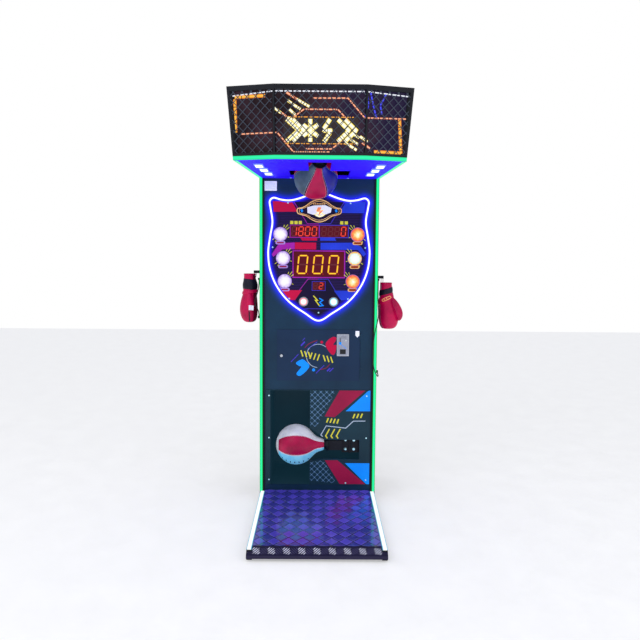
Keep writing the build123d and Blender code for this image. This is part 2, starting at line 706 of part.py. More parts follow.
def make_coin_mech():
    y0, y1 = -door_sheet - plate_thickness, -door_sheet
    middle = (coin_left + coin_right) / 2
    plate = block(coin_left, coin_right, y0, y1, coin_bottom, coin_top)
    plate = fillet(plate.edges().filter_by(Axis.Y), 4)
    plate -= block(coin_left + 17, coin_left + 21, y0 - 1, y1 + 1, coin_top - 50, coin_top - 20)
    plate -= rod_y(reject_x, y0 - 1, y1 + 1, reject_z, 7 + slide_fit)
    plate -= block(middle - 17, middle + 17, y0 - 1, y1 + 1, return_z[0], return_z[1])
    save("coin_mech_plate", plate)
    mech = block(middle - 26, middle + 26, 0, 70, return_z[1] + 8, coin_top - 10)
    cup = block(middle - 22, middle + 22, 0, 48, return_z[0] - 3, return_z[1] + 8)
    cup -= block(middle - 19, middle + 19, -1, 45, return_z[0], return_z[1] + 5)
    save("coin_mech", mech + cup)
    button = rod_y(reject_x, y0 - 4, y1 - 0.5, reject_z, 7)
    save("reject_button", fillet(button.edges().filter_by(GeomType.CIRCLE).sort_by(Axis.Y)[0], 1))
    flap_y = (y0 + y1) / 2
    flap = block(middle - 16.5, middle + 16.5, flap_y - 1, flap_y + 1, return_z[0] + 0.5, return_z[1] - 1.5)
    save("return_flap", flap)


def make_rear_door():
    x0, x1 = -rear_half + rear_gap, rear_half - rear_gap
    z0, z1 = rear_bottom + rear_gap, rear_top - rear_gap
    y0, y1 = cabinet_depth - back_board, cabinet_depth
    lock_x, lock_z = -rear_half + 25, (z0 + z1) / 2
    door = block(x0, x1, y0, y1, z0, z1)
    for row in range(6):
        z = z1 - 60 - row * 22
        door -= block(-90, 90, y0 - 1, y1 + 1, z - 4, z + 4)
    door -= rod_y(lock_x, y0 - 1, y1 + 1, lock_z, lock_radius + slide_fit)
    px, py = rear_half, cabinet_depth + rear_hinge_radius + 0.5
    for knuckle in knuckles(px, py, z0 + 60, z1 - 60, rear_hinge_radius, 5, 1):
        box = knuckle.bounding_box()
        arm = block(x1 - 22, px, y1, y1 + 2, box.min.Z, box.max.Z)
        door += arm
        door += knuckle
    door -= rod_z(px, py, z0, z1, 2 + shaft_fit)
    save("rear_door", door)
    barrel = rod_y(lock_x, y0 - 1.5, y1 + 2, lock_z, lock_radius)
    barrel += block(lock_x - 6, lock_x + 6, y0 - 4, y0 - 1.5, lock_z - 36, lock_z + 7)
    save("rear_lock", barrel)


def make_hinges():
    """The fixed halves of both door hinges, with their pins."""
    z0, z1 = door_bottom + 20, door_top - 20
    coin = None
    for knuckle in knuckles(hinge_x, hinge_y, z0, z1, hinge_radius, 5, 0):
        box = knuckle.bounding_box()
        leaf = block(hinge_x, hinge_x + 16, -1.5, 0, box.min.Z, box.max.Z)
        coin = knuckle + leaf if coin is None else coin + knuckle + leaf
    coin = coin - rod_z(hinge_x, hinge_y, z0, z1, 1.25)
    coin_pin = rod_z(hinge_x, hinge_y, z0 + 0.5, z1 - 0.5, 1.25)
    z0, z1 = rear_bottom + rear_gap + 60, rear_top - rear_gap - 60
    px, py = rear_half, cabinet_depth + rear_hinge_radius + 0.5
    rear = None
    for knuckle in knuckles(px, py, z0, z1, rear_hinge_radius, 5, 0):
        box = knuckle.bounding_box()
        leaf = block(px, px + 24, cabinet_depth, cabinet_depth + 2, box.min.Z, box.max.Z)
        rear = knuckle + leaf if rear is None else rear + knuckle + leaf
    rear = rear - rod_z(px, py, z0, z1, 2)
    rear_pin = rod_z(px, py, z0 + 0.5, z1 - 0.5, 2)
    save("door_hinges", coin, coin_pin, rear, rear_pin)


# ---- inside the cabinet ----

def make_internals():
    shelf = recess_top + 2 + chamber_board
    bin_outer = block(40, 240, 40, 240, shelf, shelf + 130)
    save("coin_box", bin_outer - block(42, 238, 42, 238, shelf + 2, shelf + 131))
    x = -inner
    board = block(x + 10, x + 12, 120, 320, 1200, 1400)
    posts = [rod_x(x, x + 10, y, z, 4) for y in (130, 310) for z in (1210, 1390)]
    chips = [block(x + 12, x + 17, 160, 200, 1280, 1320), block(x + 12, x + 30, 240, 290, 1220, 1260)]
    for piece in posts + chips:
        board += piece
    save("main_board", board)
    flange = block(inlet_x - 25, inlet_x + 25, cabinet_depth, cabinet_depth + 3, inlet_z - 15, inlet_z + 15)
    body = block(inlet_x - 13.5, inlet_x + 13.5, cabinet_depth - 22, cabinet_depth,
                 inlet_z - 9.5, inlet_z + 9.5)
    inlet = flange + body
    inlet -= block(inlet_x - 12, inlet_x + 12, cabinet_depth - 14, cabinet_depth + 4,
                   inlet_z - 8, inlet_z + 8)
    for dx in (-7, 0, 7):
        inlet += block(inlet_x + dx - 1, inlet_x + dx + 1, cabinet_depth - 15, cabinet_depth,
                       inlet_z - 2, inlet_z + 2)
    save("power_inlet", inlet)


# ---- gloves, holders and tethers ----

# height, middle out from the hook pin, half width, half depth
glove_sections = {
    "right": [(1277, 24, 34, 36), (1200, 26, 41, 42), (1150, 36, 52, 47), (1090, 53, 70, 52),
              (1040, 42, 59, 48), (1008, 38, 38, 30)],
    "left": [(1324, 32, 34, 40), (1250, 30, 43, 45), (1190, 34, 46, 50), (1130, 38, 52, 54),
             (1075, 36, 47, 50), (1040, 32, 30, 32)],
}


def make_glove(name):
    sign = 1 if name == "right" else -1
    rings = [Pos(sign * (hook_x + out), hook_y, z) * Ellipse(rx, ry)
             for z, out, rx, ry in glove_sections[name]]
    body = loft(rings)
    top = glove_sections[name][0][0]
    z = hook_z[name]
    loop = rod_y(sign * hook_x, hook_y - 6, hook_y + 6, z, hook_pin + 6)
    x0, x1 = sign * hook_x - 6, sign * hook_x + 6
    glove = body + loop + block(x0, x1, hook_y - 6, hook_y + 6, top - 20, z)
    save(f"glove_{name}", glove - rod_y(sign * hook_x, hook_y - 10, hook_y + 10, z, hook_pin + slide_fit))


# each point: out from the side board, depth, height
tether_routes = {
    "right": [(8.5, 57, 1292), (8.5, 57, 1244), (7.5, 43, 1192), (7.5, 19, 1146), (7.5, -10, 1104),
              (0.5, -28, 1062), (-12.5, -32, 1010), (-21.5, -31, 950), (-24.5, -30, 886),
              (-23.5, -31, 830), (-16.5, -32, 788), (-3.5, -28, 757), (8.5, -12, 740), (12.5, 10, 743),
              (9.5, 33, 757), (9.5, 58, 757)],
    "left": [(8.5, 57, 1292), (8.5, 57, 1266), (12.5, 42, 1236), (20.5, 30, 1206), (29.5, 27, 1176),
             (28.5, 30, 1148), (18.5, 40, 1128), (8.5, 46, 1106), (8.5, 46, 1084)],
}


def make_holders():
    """Side plates with a clevis hook for each glove, and the clips that hold the tether's ends."""
    pieces = []
    for name, sign in (("right", 1), ("left", -1)):
        z = hook_z[name]

        def part(x0, x1, y0, y1, z0, z1):
            a, b = sorted((sign * x0, sign * x1))
            return block(a, b, y0, y1, z0, z1)

        holder = part(half, half + holder_plate, 30, 170, 1060, z + 14)
        for y in (hook_y - 14, hook_y + 10):
            holder += part(half + holder_plate, hook_x + 8, y, y + 4, z - 8, z + 8)
        holder += rod_y(sign * hook_x, hook_y - 14, hook_y + 14, z, hook_pin)
        start, end = tether_routes[name][0], tether_routes[name][-1]
        plate, clip = half + holder_plate, half + clip_out
        holder += part(plate, clip, start[1] - 6, start[1] + 6, start[2], start[2] + 12)
        pieces.append(holder)
        if name == "right":
            pieces.append(part(half, clip + 1, end[1], end[1] + 14, end[2] - 7, end[2] + 7))
        else:
            pieces.append(part(plate, clip, end[1] - 7, end[1] + 7, end[2] - 14, end[2]))
    save("glove_holders", pieces)


def make_tether(name):
    """A cord along straight runs joined by tangent arcs as large as the runs allow."""
    sign = 1 if name == "right" else -1
    points = [Vector(sign * (half + out), y, z) for out, y, z in tether_routes[name]]
    radii = []
    for a, b, c in zip(points, points[1:], points[2:]):
        turn = radians((b - a).get_angle(c - b))
        radii.append(0.45 * min((b - a).length, (c - b).length) / tan(turn / 2))
    print(f"tether_{name} radii", [round(r) for r in radii])
    path = FilletPolyline(*points, radius=radii)
    start = Plane(origin=points[0], z_dir=points[1] - points[0])
    cord = sweep(start * Circle(tether_diameter / 2), path=path)
    print(f"tether_{name} length", round(path.length))
    save(f"tether_{name}", cord)


def make_wheels():
    y = cabinet_depth + wheel_radius + 3
    z = wheel_radius + wheel_clear_floor
    for name, side in (("right", 1), ("left", -1)):
        x0, x1 = side * wheel_x - wheel_width / 2, side * wheel_x + wheel_width / 2
        wheel = rod_x(x0, x1, y, z, wheel_radius)
        wheel = fillet(wheel.edges().filter_by(GeomType.CIRCLE), 3)
        save(f"wheel_{name}", wheel - rod_x(x0 - 1, x1 + 1, y, z, 4 + shaft_fit))


os.makedirs("parts", exist_ok=True)
make_base()
make_nose()
make_platform_sides()
make_cabinet()
make_front_panel()
make_kick_chamber()
make_art_panel()
make_shield()
make_displays()
make_lamps()
make_buttons()
make_screws()
make_head_shell()
make_marquee()
make_head_frame()
make_punch()
make_kick()
make_coin_door()
make_coin_mech()
make_rear_door()
make_hinges()
make_internals()
for side_name in ("right", "left"):
    make_glove(side_name)
    make_tether(side_name)
make_holders()
make_wheels()
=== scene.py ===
# Looks of the arcade punch and kick machine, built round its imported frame. Metres; settings are in mm.
import math
import bmesh
import bpy
import numpy as np
from mathutils import Matrix


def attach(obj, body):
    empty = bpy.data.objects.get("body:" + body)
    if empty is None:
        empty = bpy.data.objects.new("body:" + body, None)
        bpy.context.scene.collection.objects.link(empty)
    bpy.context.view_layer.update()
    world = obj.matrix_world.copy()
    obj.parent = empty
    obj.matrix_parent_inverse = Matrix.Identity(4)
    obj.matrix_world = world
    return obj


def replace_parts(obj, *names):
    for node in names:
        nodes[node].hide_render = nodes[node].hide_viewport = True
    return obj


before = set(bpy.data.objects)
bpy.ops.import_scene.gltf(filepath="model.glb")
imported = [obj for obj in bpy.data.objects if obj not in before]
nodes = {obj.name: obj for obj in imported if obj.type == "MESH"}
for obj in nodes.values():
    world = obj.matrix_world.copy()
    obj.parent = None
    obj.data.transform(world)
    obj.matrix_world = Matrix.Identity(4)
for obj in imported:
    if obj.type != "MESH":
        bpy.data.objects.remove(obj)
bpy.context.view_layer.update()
mm = 0.001
print("stage: frame loaded")

# camera and cords

cameraView = {"place": (-0.0072, -3.683, 1.4185), "pitch": 0.0954, "yaw": -0.0044, "roll": 0.0075,
              "lens": 36.18}
camera = bpy.data.objects.new("camera", bpy.data.cameras.new("camera"))
camera.data.lens = cameraView["lens"]
camera.data.sensor_width = 36.0
camera.matrix_world = (Matrix.Translation(cameraView["place"])
                       @ Matrix.Rotation(cameraView["yaw"], 4, "Z")
                       @ Matrix.Rotation(math.pi / 2 - cameraView["pitch"], 4, "X")
                       @ Matrix.Rotation(cameraView["roll"], 4, "Z"))
bpy.context.scene.collection.objects.link(camera)
bpy.context.scene.camera = camera
bpy.context.scene.view_settings.view_transform = "Standard"


def toLinear(hexText):  # sRGB hex to linear RGBA: the standard curve, a power of 2.4 above its straight foot
    srgb = np.array([int(hexText[i:i + 2], 16) for i in (1, 3, 5)]) / 255
    linear = np.where(srgb <= 0.04045, srgb / 12.92, ((srgb + 0.055) / 1.055) ** 2.4)
    return (*linear.tolist(), 1.0)


def addNode(tree, kind, values=None, links=None, **settings):  # one node with its settings, values and links
    node = tree.nodes.new("ShaderNode" + kind)
    for key, value in settings.items():
        setattr(node, key, value)
    for key, value in (values or {}).items():
        node.inputs[key].default_value = value
    for key, socket in (links or {}).items():
        tree.links.new(socket, node.inputs[key])
    return node


def startMaterial(name, **sockets):  # a Principled material; underscores in the keywords stand for spaces
    material = bpy.data.materials.new(name)
    material.use_nodes = True
    shader = material.node_tree.nodes["Principled BSDF"]
    for key, value in sockets.items():
        shader.inputs[key.replace("_", " ")].default_value = value
    return material, material.node_tree, shader


def rampBetween(tree, factor, stops):  # a colour ramp from (place, hex) stops
    ramp = addNode(tree, "ValToRGB", links={"Fac": factor})
    while len(ramp.color_ramp.elements) < len(stops):
        ramp.color_ramp.elements.new(0.5)
    for element, (place, hexText) in zip(ramp.color_ramp.elements, stops):
        element.position = place
        element.color = toLinear(hexText)
    return ramp.outputs["Color"]


def haloFrom(tree, shader):
    # painted light of the tube, falling off across a strip beside it: blue at 0, nothing at 1
    value = addNode(tree, "Attribute", attribute_name="across").outputs["Fac"]
    stops = [(0.0, "#1c18ff"), (0.22, "#0c0ab8"), (0.5, "#05045a"), (0.78, "#020220"), (1.0, "#000000")]
    tree.links.new(rampBetween(tree, value, stops), shader.inputs["Emission Color"])
    shader.inputs["Emission Strength"].default_value = 1.0


def grained(name, dark, light, grain, relief, rough, pattern="noise", stretch=(1, 1, 1), glow=0.0, halo=False,
            **sockets):
    # a surface with two close colours, uneven gloss and a fine relief; grain and relief are in mm
    material, tree, shader = startMaterial(name, **sockets)
    place = addNode(tree, "TexCoord").outputs["Object"]
    spread = addNode(tree, "Mapping", {"Scale": stretch}, {"Vector": place}).outputs["Vector"]
    if pattern == "cells":
        fine = addNode(tree, "TexVoronoi", {"Scale": 1000 / grain}, {"Vector": spread},
                       feature="F1").outputs["Distance"]
    else:
        fine = addNode(tree, "TexNoise", {"Scale": 1000 / grain, "Detail": 3.0},
                       {"Vector": spread}).outputs["Fac"]
    broad = addNode(tree, "TexNoise", {"Scale": 6.0, "Detail": 2.0}, {"Vector": place}).outputs["Fac"]
    mixed = addNode(tree, "Math", {1: 0.45}, {0: fine}, operation="MULTIPLY").outputs["Value"]
    total = addNode(tree, "Math", {1: 0.6}, {0: broad, 2: mixed}, operation="MULTIPLY_ADD").outputs["Value"]
    colour = rampBetween(tree, total, [(0.25, dark), (0.75, light)])
    tree.links.new(colour, shader.inputs["Base Color"])
    gloss = addNode(tree, "MapRange", {"To Min": rough[0], "To Max": rough[1]},
                    {"Value": total}).outputs["Result"]
    tree.links.new(gloss, shader.inputs["Roughness"])
    bump = addNode(tree, "Bump", {"Strength": 0.6, "Distance": relief * mm}, {"Height": fine})
    tree.links.new(bump.outputs["Normal"], shader.inputs["Normal"])
    if glow:
        tree.links.new(colour, shader.inputs["Emission Color"])
        shader.inputs["Emission Strength"].default_value = glow
    if halo:
        haloFrom(tree, shader)
    return material


# Melamine laminate on board: near black, a fine orange peel, a soft broad sheen.
blackLaminate = grained("blackLaminate", "#0b0c10", "#171a20", 1.2, 0.05, (0.32, 0.48),
                        Specular_IOR_Level=0.3)
# Gloss acrylic film on the front board: midnight blue with a clear coat, so it picks up the tube's light.
filmLook = {"dark": "#0f2c44", "light": "#1a4462", "grain": 3.0, "relief": 0.02, "rough": (0.3, 0.42),
            "Specular_IOR_Level": 0.25}
midnightFilm = grained("midnightGlossFilm", **filmLook)
midnightHalo = grained("midnightFilmPaintedTubeLight", halo=True, **filmLook)
# Powder coat on steel: satin black, pebbled by the baked powder.
powderCoat = grained("blackPowderCoat", "#0c0e14", "#1b1f2a", 0.8, 0.06, (0.42, 0.6), pattern="cells",
                     Specular_IOR_Level=0.3)
# Painted wire: blue grey coat with a painted glow, so that it stands out a little against the dark screen.
wireCoatPaintedGlow = grained("meshWirePaintedGlow", "#202834", "#343e4e", 0.8, 0.03, (0.4, 0.6), glow=0.5)
# Painted recess: flat black lining that hides the inside of the kick bay, drawn dark teal with a painted glow
# for the light falling into the bay.
recessPaintedGlow = grained("recessLiningPaintedGlow", "#0c2430", "#12303c", 2.0, 0.05, (0.5, 0.7), glow=0.7)
# Embossed PVC tread: glossy violet blue. The lozenges catch the lights in paint: alternate rows get a painted
# lit copy and a painted shaded copy of one vinyl, both with a painted glow.
treadVinyl = grained("embossedTreadVinyl", "#0e0c34", "#201c62", 2.5, 0.02, (0.06, 0.14), Coat_Weight=0.8,
                     Coat_Roughness=0.04)
treadLitCopy = grained("treadLozengePaintedLit", "#2c2aa0", "#6a58e6", 2.5, 0.02, (0.12, 0.26), Coat_Weight=0.6,
                      Coat_Roughness=0.06, glow=0.2)
treadShadedCopy = grained("treadLozengePaintedShade", "#25267e", "#4c48bc", 2.5, 0.02, (0.12, 0.26), Coat_Weight=0.6,
                   Coat_Roughness=0.06, glow=0.14)
# Five bar aluminium tread on the nose: dull violet grey metal. The bars that lean one way carry a painted glint
# with a painted glow, those that lean the other way a painted shade.
noseMetal = grained("fiveBarAluminium", "#1a1636", "#2e284e", 1.5, 0.04, (0.3, 0.5), Metallic=0.5)
barPaintedGlint = grained("aluminiumBarPaintedGlint", "#c8ccf4", "#f4f6ff", 1.0, 0.03, (0.18, 0.35), Metallic=0.5,
                   glow=0.55)
barPaintedShade = grained("aluminiumBarPaintedShade", "#4c4878", "#6c6898", 1.0, 0.03, (0.3, 0.45), Metallic=0.6)
# Nickel plate on the arm bolts and screws: its cyan is a painted reflection of the strips beside them, with a
# painted glow.
nickelPlatePaintedReflection = grained("nickelPlatePaintedReflection", "#8fd8ec", "#d8f6ff", 0.6, 0.01, (0.1, 0.25), Metallic=0.7, glow=0.3)
# Chrome plate: bright, with faint handling marks.
chromePlate = grained("chromePlate", "#aeb6c2", "#dfe4ea", 0.6, 0.01, (0.08, 0.2), Metallic=1.0)
# Brushed stainless: hairlines run along the sheet.
brushedSteel = grained("brushedStainless", "#8d93a6", "#c9cde0", 0.7, 0.02, (0.22, 0.4), stretch=(1, 1, 0.04),
                       Metallic=0.9)
# Moulded ABS: dark, fine spark texture.
mouldedAbs = grained("mouldedAbs", "#0f1014", "#1d1f25", 0.6, 0.05, (0.4, 0.55))
# Solder mask on circuit board.
solderMask = grained("solderMaskBoard", "#0a3a20", "#135030", 1.2, 0.04, (0.3, 0.45))
# Moulded rubber tyre.
mouldedRubber = grained("mouldedRubber", "#0b0b0c", "#19191b", 1.0, 0.08, (0.7, 0.9))
# Printed, powder coated door sheet.
doorFilm = grained("doorPrintedFilm", "#122c4c", "#1c3c60", 1.0, 0.03, (0.32, 0.45), Specular_IOR_Level=0.25)
# Acrylic under the canopy, its blue glow painted in for the modules' light, and film on the kick panel.
soffitBlue = grained("soffitAcrylicPaintedGlow", "#0c06a0", "#2a04f0", 30.0, 0.01, (0.4, 0.6), glow=0.85,
                     Specular_IOR_Level=0.1)
modulePlate = grained("ledModulePlate", "#2a4cff", "#7088ff", 6.0, 0.01, (0.4, 0.6), glow=0.9)
artFilm = grained("kickPanelFilm", "#12303f", "#1c4656", 2.0, 0.02, (0.3, 0.42), Specular_IOR_Level=0.25)


def leather(name, dark, light, crack=0.35):
    # split leather: pebbles 1.6 mm across (drawn 2.4 mm so that they show), creases darker, a soft sheen
    material, tree, shader = startMaterial(name, Coat_Weight=0.06, Coat_Roughness=0.3, Specular_IOR_Level=0.3)
    place = addNode(tree, "TexCoord").outputs["Object"]
    pebble = addNode(tree, "TexVoronoi", {"Scale": 1000 / 2.4}, {"Vector": place}, feature="SMOOTH_F1")
    broad = addNode(tree, "TexNoise", {"Scale": 14.0, "Detail": 4.0}, {"Vector": place}).outputs["Fac"]
    total = addNode(tree, "Math", {1: crack}, {0: pebble.outputs["Distance"], 2: broad},
                    operation="MULTIPLY_ADD").outputs["Value"]
    colour = rampBetween(tree, total, [(0.3, dark), (0.8, light)])
    tree.links.new(colour, shader.inputs["Base Color"])
    # painted glow: each leather gives off a little of its own colour, standing in for light falling on it
    tree.links.new(colour, shader.inputs["Emission Color"])
    shader.inputs["Emission Strength"].default_value = 0.22
    gloss = addNode(tree, "MapRange", {"To Min": 0.28, "To Max": 0.5}, {"Value": broad}).outputs["Result"]
    tree.links.new(gloss, shader.inputs["Roughness"])
    bump = addNode(tree, "Bump", {"Strength": 0.5, "Distance": 0.0004},
                   {"Height": pebble.outputs["Distance"]})
    tree.links.new(bump.outputs["Normal"], shader.inputs["Normal"])
    return material


crimsonLeather = leather("crimsonLeather", "#8a0238", "#bc044c")
whiteLeather = leather("whiteLeather", "#a9aebf", "#e4e6f2")
# painted light: white leather drawn cyan, for the strips' light on the kick ball's lower white gore
cyanLitWhiteLeather = leather("whiteLeatherPaintedCyanLight", "#4cb4ec", "#90e4ff")
slateLeather = leather("slateLeather", "#26384a", "#4c6478")
navyLeather = leather("navyLeather", "#0e1058", "#2020b4")
gloveLeather = leather("gloveCrimsonLeather", "#94003a", "#cc0450")
gloveDark = leather("glovePalmLeather", "#3c0a1c", "#6a1030")
gloveBlack = leather("gloveBlackLeather", "#07080f", "#15172a")
# painted highlight: the salmon sheen on the left glove's outer side
gloveGlint = leather("gloveLeatherPaintedHighlight", "#c8404c", "#f08a7c")


def lit(name, stops, strength, axis=None, centre=0.0, reach=1.0, attribute=None, mottle=0.0):
    # a lit diffuser: its colour runs through the stops, by distance from a plane in mm or by an attribute;
    # mottle shifts the place on the ramp by patches about 12 mm across
    material, tree, shader = startMaterial(name, Roughness=0.35)
    if attribute:
        value = addNode(tree, "Attribute", attribute_name=attribute).outputs["Fac"]
        place = addNode(tree, "TexCoord").outputs["Object"]
        patch = addNode(tree, "TexNoise", {"Scale": 85.0, "Detail": 3.0}, {"Vector": place}).outputs["Fac"]
        shift = addNode(tree, "Math", {1: 0.5}, {0: patch}, operation="SUBTRACT").outputs["Value"]
        value = addNode(tree, "Math", {1: mottle}, {0: shift, 2: value},
                        operation="MULTIPLY_ADD").outputs["Value"]
    else:
        place = addNode(tree, "TexCoord").outputs["Object"]
        split = addNode(tree, "SeparateXYZ", links={"Vector": place}).outputs[axis]
        size = addNode(tree, "Math", links={0: split}, operation="ABSOLUTE").outputs["Value"]
        off = addNode(tree, "Math", {1: centre * mm}, {0: size}, operation="SUBTRACT").outputs["Value"]
        away = addNode(tree, "Math", links={0: off}, operation="ABSOLUTE").outputs["Value"]
        value = addNode(tree, "Math", {1: reach * mm}, {0: away}, operation="DIVIDE").outputs["Value"]
    colour = rampBetween(tree, value, stops)
    tree.links.new(colour, shader.inputs["Emission Color"])
    shader.inputs["Base Color"].default_value = toLinear("#06060a")
    shader.inputs["Emission Strength"].default_value = strength
    return material


# Silicone edge strips: blue green core with green sides, as their diodes sit in the middle.
edgeGlow = lit("siliconeEdgeStrip", [(0.0, "#08fbb8"), (0.4, "#00f6a4"), (0.75, "#00e862"), (1.0, "#00b044")],
               1.0, "X", 328.5, 8.0)
canopyGlow = lit("canopyStrip", [(0.0, "#14fab4"), (0.7, "#08f0a0"), (1.0, "#00d070")], 1.0, "Z", 1874.5, 9.0)
underGlow = lit("canopyUnderStrip", [(0.0, "#10ffc0"), (0.6, "#00f4a0"), (1.0, "#00c470")], 1.0,
                attribute="across")
railGlow = lit("railDiffuser", [(0.0, "#ffffff"), (0.76, "#fcffff"), (0.84, "#3cb8dc"), (1.0, "#2a9cc8")],
               1.0, "X", 321.0, 12.0)
tubeCore = lit("neonTubeCore", [(0.0, "#ffffff"), (0.7, "#f4f6ff"), (1.0, "#8f9cff")], 1.5,
               attribute="across")
tubeBase = lit("neonTubeBase", [(0.0, "#6a78ff"), (0.4, "#2a30ff"), (0.75, "#1c18ff"), (1.0, "#1c18ff")], 1.0,
               attribute="across")
ledModule = lit("soffitLedModule", [(0.0, "#ffffff"), (0.8, "#f4f6ff"), (1.0, "#b8c4ff")], 1.6,
                attribute="across")
digitRed = lit("segmentRed", [(0.0, "#ff6a40"), (0.5, "#ff2a18"), (1.0, "#d81414")], 1.0, attribute="across")
digitDim = lit("segmentUnlit", [(0.0, "#7c1626"), (1.0, "#54101e")], 0.8, attribute="across")
digitAmber = lit("segmentAmber", [(0.0, "#fff430"), (0.45, "#ffd010"), (0.8, "#ff7a08"), (1.0, "#f04408")],
                 1.0, attribute="across")
ledWhite = lit("ledWhite", [(0.0, "#ffffff"), (1.0, "#dfe8ff")], 1.0, attribute="across")
ledYellow = lit("ledYellow", [(0.0, "#fffff4"), (0.55, "#fffbd0"), (0.85, "#ffe23c"), (1.0, "#d8b41c")], 1.1,
                attribute="across")
ledAmber = lit("ledAmber", [(0.0, "#ffd050"), (0.5, "#ffa828"), (1.0, "#e87818")], 1.0, attribute="across")
ledOrange = lit("ledOrange", [(0.0, "#ffe0c0"), (0.5, "#ff9a64"), (1.0, "#e05a30")], 1.0, attribute="across")
ledViolet = lit("ledViolet", [(0.0, "#5a6cff"), (0.6, "#2418f0"), (1.0, "#1c08c0")], 1.0, attribute="across")
warmHalo = lit("marqueeWarmHalo", [(0.0, "#7a6410"), (0.55, "#4c3a10"), (1.0, "#2a1616")], 0.8,
               attribute="across")
lampWhite = lit("lampLensWhite", [(0.0, "#ffffff"), (0.5, "#fbf8ff"), (0.8, "#e0d0f8"), (1.0, "#a888dc")],
                1.0, attribute="across", mottle=0.7)
lampAmber = lit("lampLensAmber", [(0.0, "#ffffff"), (0.3, "#fff4b0"), (0.6, "#ffb050"), (0.85, "#ff7a40"),
                                  (1.0, "#e04c50")], 1.0, attribute="across", mottle=0.7)
lampPale = lit("lampLensPale", [(0.0, "#ffffff"), (0.6, "#f2fff6"), (0.78, "#d8e8e0"), (0.9, "#ffd83c"),
                                (1.0, "#ff9420")], 1.0, attribute="across", mottle=0.5)

# Screen printed inks under the clear sheet: flat colour with a slight mottle, glowing a little: a painted glow
# for the backlight, given off by every print that uses these inks.
inkLook = {"grain": 4.0, "relief": 0.01, "rough": (0.3, 0.42), "Specular_IOR_Level": 0.2}
inkRed = grained("inkRed", "#b00438", "#d20a48", glow=0.3, **inkLook)
inkBlue = grained("inkBlue", "#122cb0", "#2a44dc", glow=0.35, **inkLook)
inkMagenta = grained("inkMagenta", "#8a1484", "#b026b4", glow=0.35, **inkLook)
inkViolet = grained("inkViolet", "#3428a8", "#5344d8", glow=0.35, **inkLook)
inkGold = grained("inkGold", "#c4762c", "#ffd894", glow=0.5, **inkLook)
inkYellow = grained("inkYellow", "#c8c42c", "#e8e04c", glow=0.3, **inkLook)
inkWhite = grained("inkWhite", "#ccd0e4", "#f4f4ff", glow=0.45, **inkLook)
inkDark = grained("inkDark", "#0c0624", "#180c3c", glow=0.2, **inkLook)
inkSky = grained("inkSky", "#0678ea", "#0a94ff", glow=0.45, **inkLook)
inkWine = grained("inkWine", "#7c1038", "#a81848", glow=0.3, **inkLook)
inkLilac = grained("inkLilac", "#8c6cb8", "#b898e0", glow=0.4, **inkLook)
inkRust = grained("inkRust", "#7c2408", "#a83c10", glow=0.3, **inkLook)
inkGrey = grained("inkGrey", "#90a4bc", "#bccce0", glow=0.3, **inkLook)
displayFilter = grained("displayFilter", "#38040e", "#56081a", 2.0, 0.01, (0.25, 0.35), glow=0.8,
                        Specular_IOR_Level=0.2)


def shieldPrint(name, halo=False):
    # printed acrylic: near black violet, with rows of small scales 12 mm wide and 9 mm apart in a brighter
    # violet
    material, tree, shader = startMaterial(name, Roughness=0.3, Specular_IOR_Level=0.2)
    place = addNode(tree, "TexCoord").outputs["Object"]
    split = addNode(tree, "SeparateXYZ", links={"Vector": place})
    across = addNode(tree, "Math", {1: 2 * math.pi / 0.012}, {0: split.outputs["X"]}, operation="MULTIPLY")
    wave = addNode(tree, "Math", links={0: across.outputs["Value"]}, operation="COSINE").outputs["Value"]
    rows = addNode(tree, "Math", {1: 2 * math.pi / 0.009}, {0: split.outputs["Z"]}, operation="MULTIPLY")
    bent = addNode(tree, "Math", {1: 1.1}, {0: wave, 2: rows.outputs["Value"]}, operation="MULTIPLY_ADD")
    scale = addNode(tree, "Math", links={0: bent.outputs["Value"]}, operation="SINE").outputs["Value"]
    colour = rampBetween(tree, scale, [(0.3, "#10072c"), (0.75, "#170b3c"), (0.95, "#3c2474")])
    tree.links.new(colour, shader.inputs["Base Color"])
    if halo:
        haloFrom(tree, shader)
    else:
        # painted glow: the print gives off a little of its own colour
        tree.links.new(colour, shader.inputs["Emission Color"])
        shader.inputs["Emission Strength"].default_value = 0.3
    return material


def latticePrint():
    # a printed net of thin pale lines on both diagonals, x plus or minus z stepping by 34 mm, with a dot at
    # every crossing
    material, tree, shader = startMaterial("latticePrint", Roughness=0.35, Specular_IOR_Level=0.2)
    place = addNode(tree, "TexCoord").outputs["Object"]
    split = addNode(tree, "SeparateXYZ", links={"Vector": place})
    sides = []
    for way in ("ADD", "SUBTRACT"):
        run = addNode(tree, "Math", links={0: split.outputs["X"], 1: split.outputs["Z"]}, operation=way)
        step = addNode(tree, "Math", {1: 1 / 0.034}, {0: run.outputs["Value"]}, operation="MULTIPLY")
        part = addNode(tree, "Math", links={0: step.outputs["Value"]}, operation="FRACT").outputs["Value"]
        middle = addNode(tree, "Math", {1: 0.5}, {0: part}, operation="SUBTRACT").outputs["Value"]
        sides.append(addNode(tree, "Math", links={0: middle}, operation="ABSOLUTE").outputs["Value"])
    line = addNode(tree, "Math", links={0: sides[0], 1: sides[1]}, operation="MINIMUM").outputs["Value"]
    dot = addNode(tree, "Math", links={0: sides[0], 1: sides[1]}, operation="MAXIMUM").outputs["Value"]
    soft = addNode(tree, "Math", {1: 2.0}, {0: line}, operation="MULTIPLY").outputs["Value"]
    near = addNode(tree, "Math", {1: 0.55}, {0: dot}, operation="MULTIPLY").outputs["Value"]
    ink = addNode(tree, "Math", links={0: soft, 1: near}, operation="MINIMUM").outputs["Value"]
    colour = rampBetween(tree, ink, [(0.0, "#8cb4e4"), (0.06, "#4c7498"), (0.11, "#17394a")])
    tree.links.new(colour, shader.inputs["Base Color"])
    # painted glow: the print gives off a little of its own colour
    tree.links.new(colour, shader.inputs["Emission Color"])
    shader.inputs["Emission Strength"].default_value = 0.12
    return material


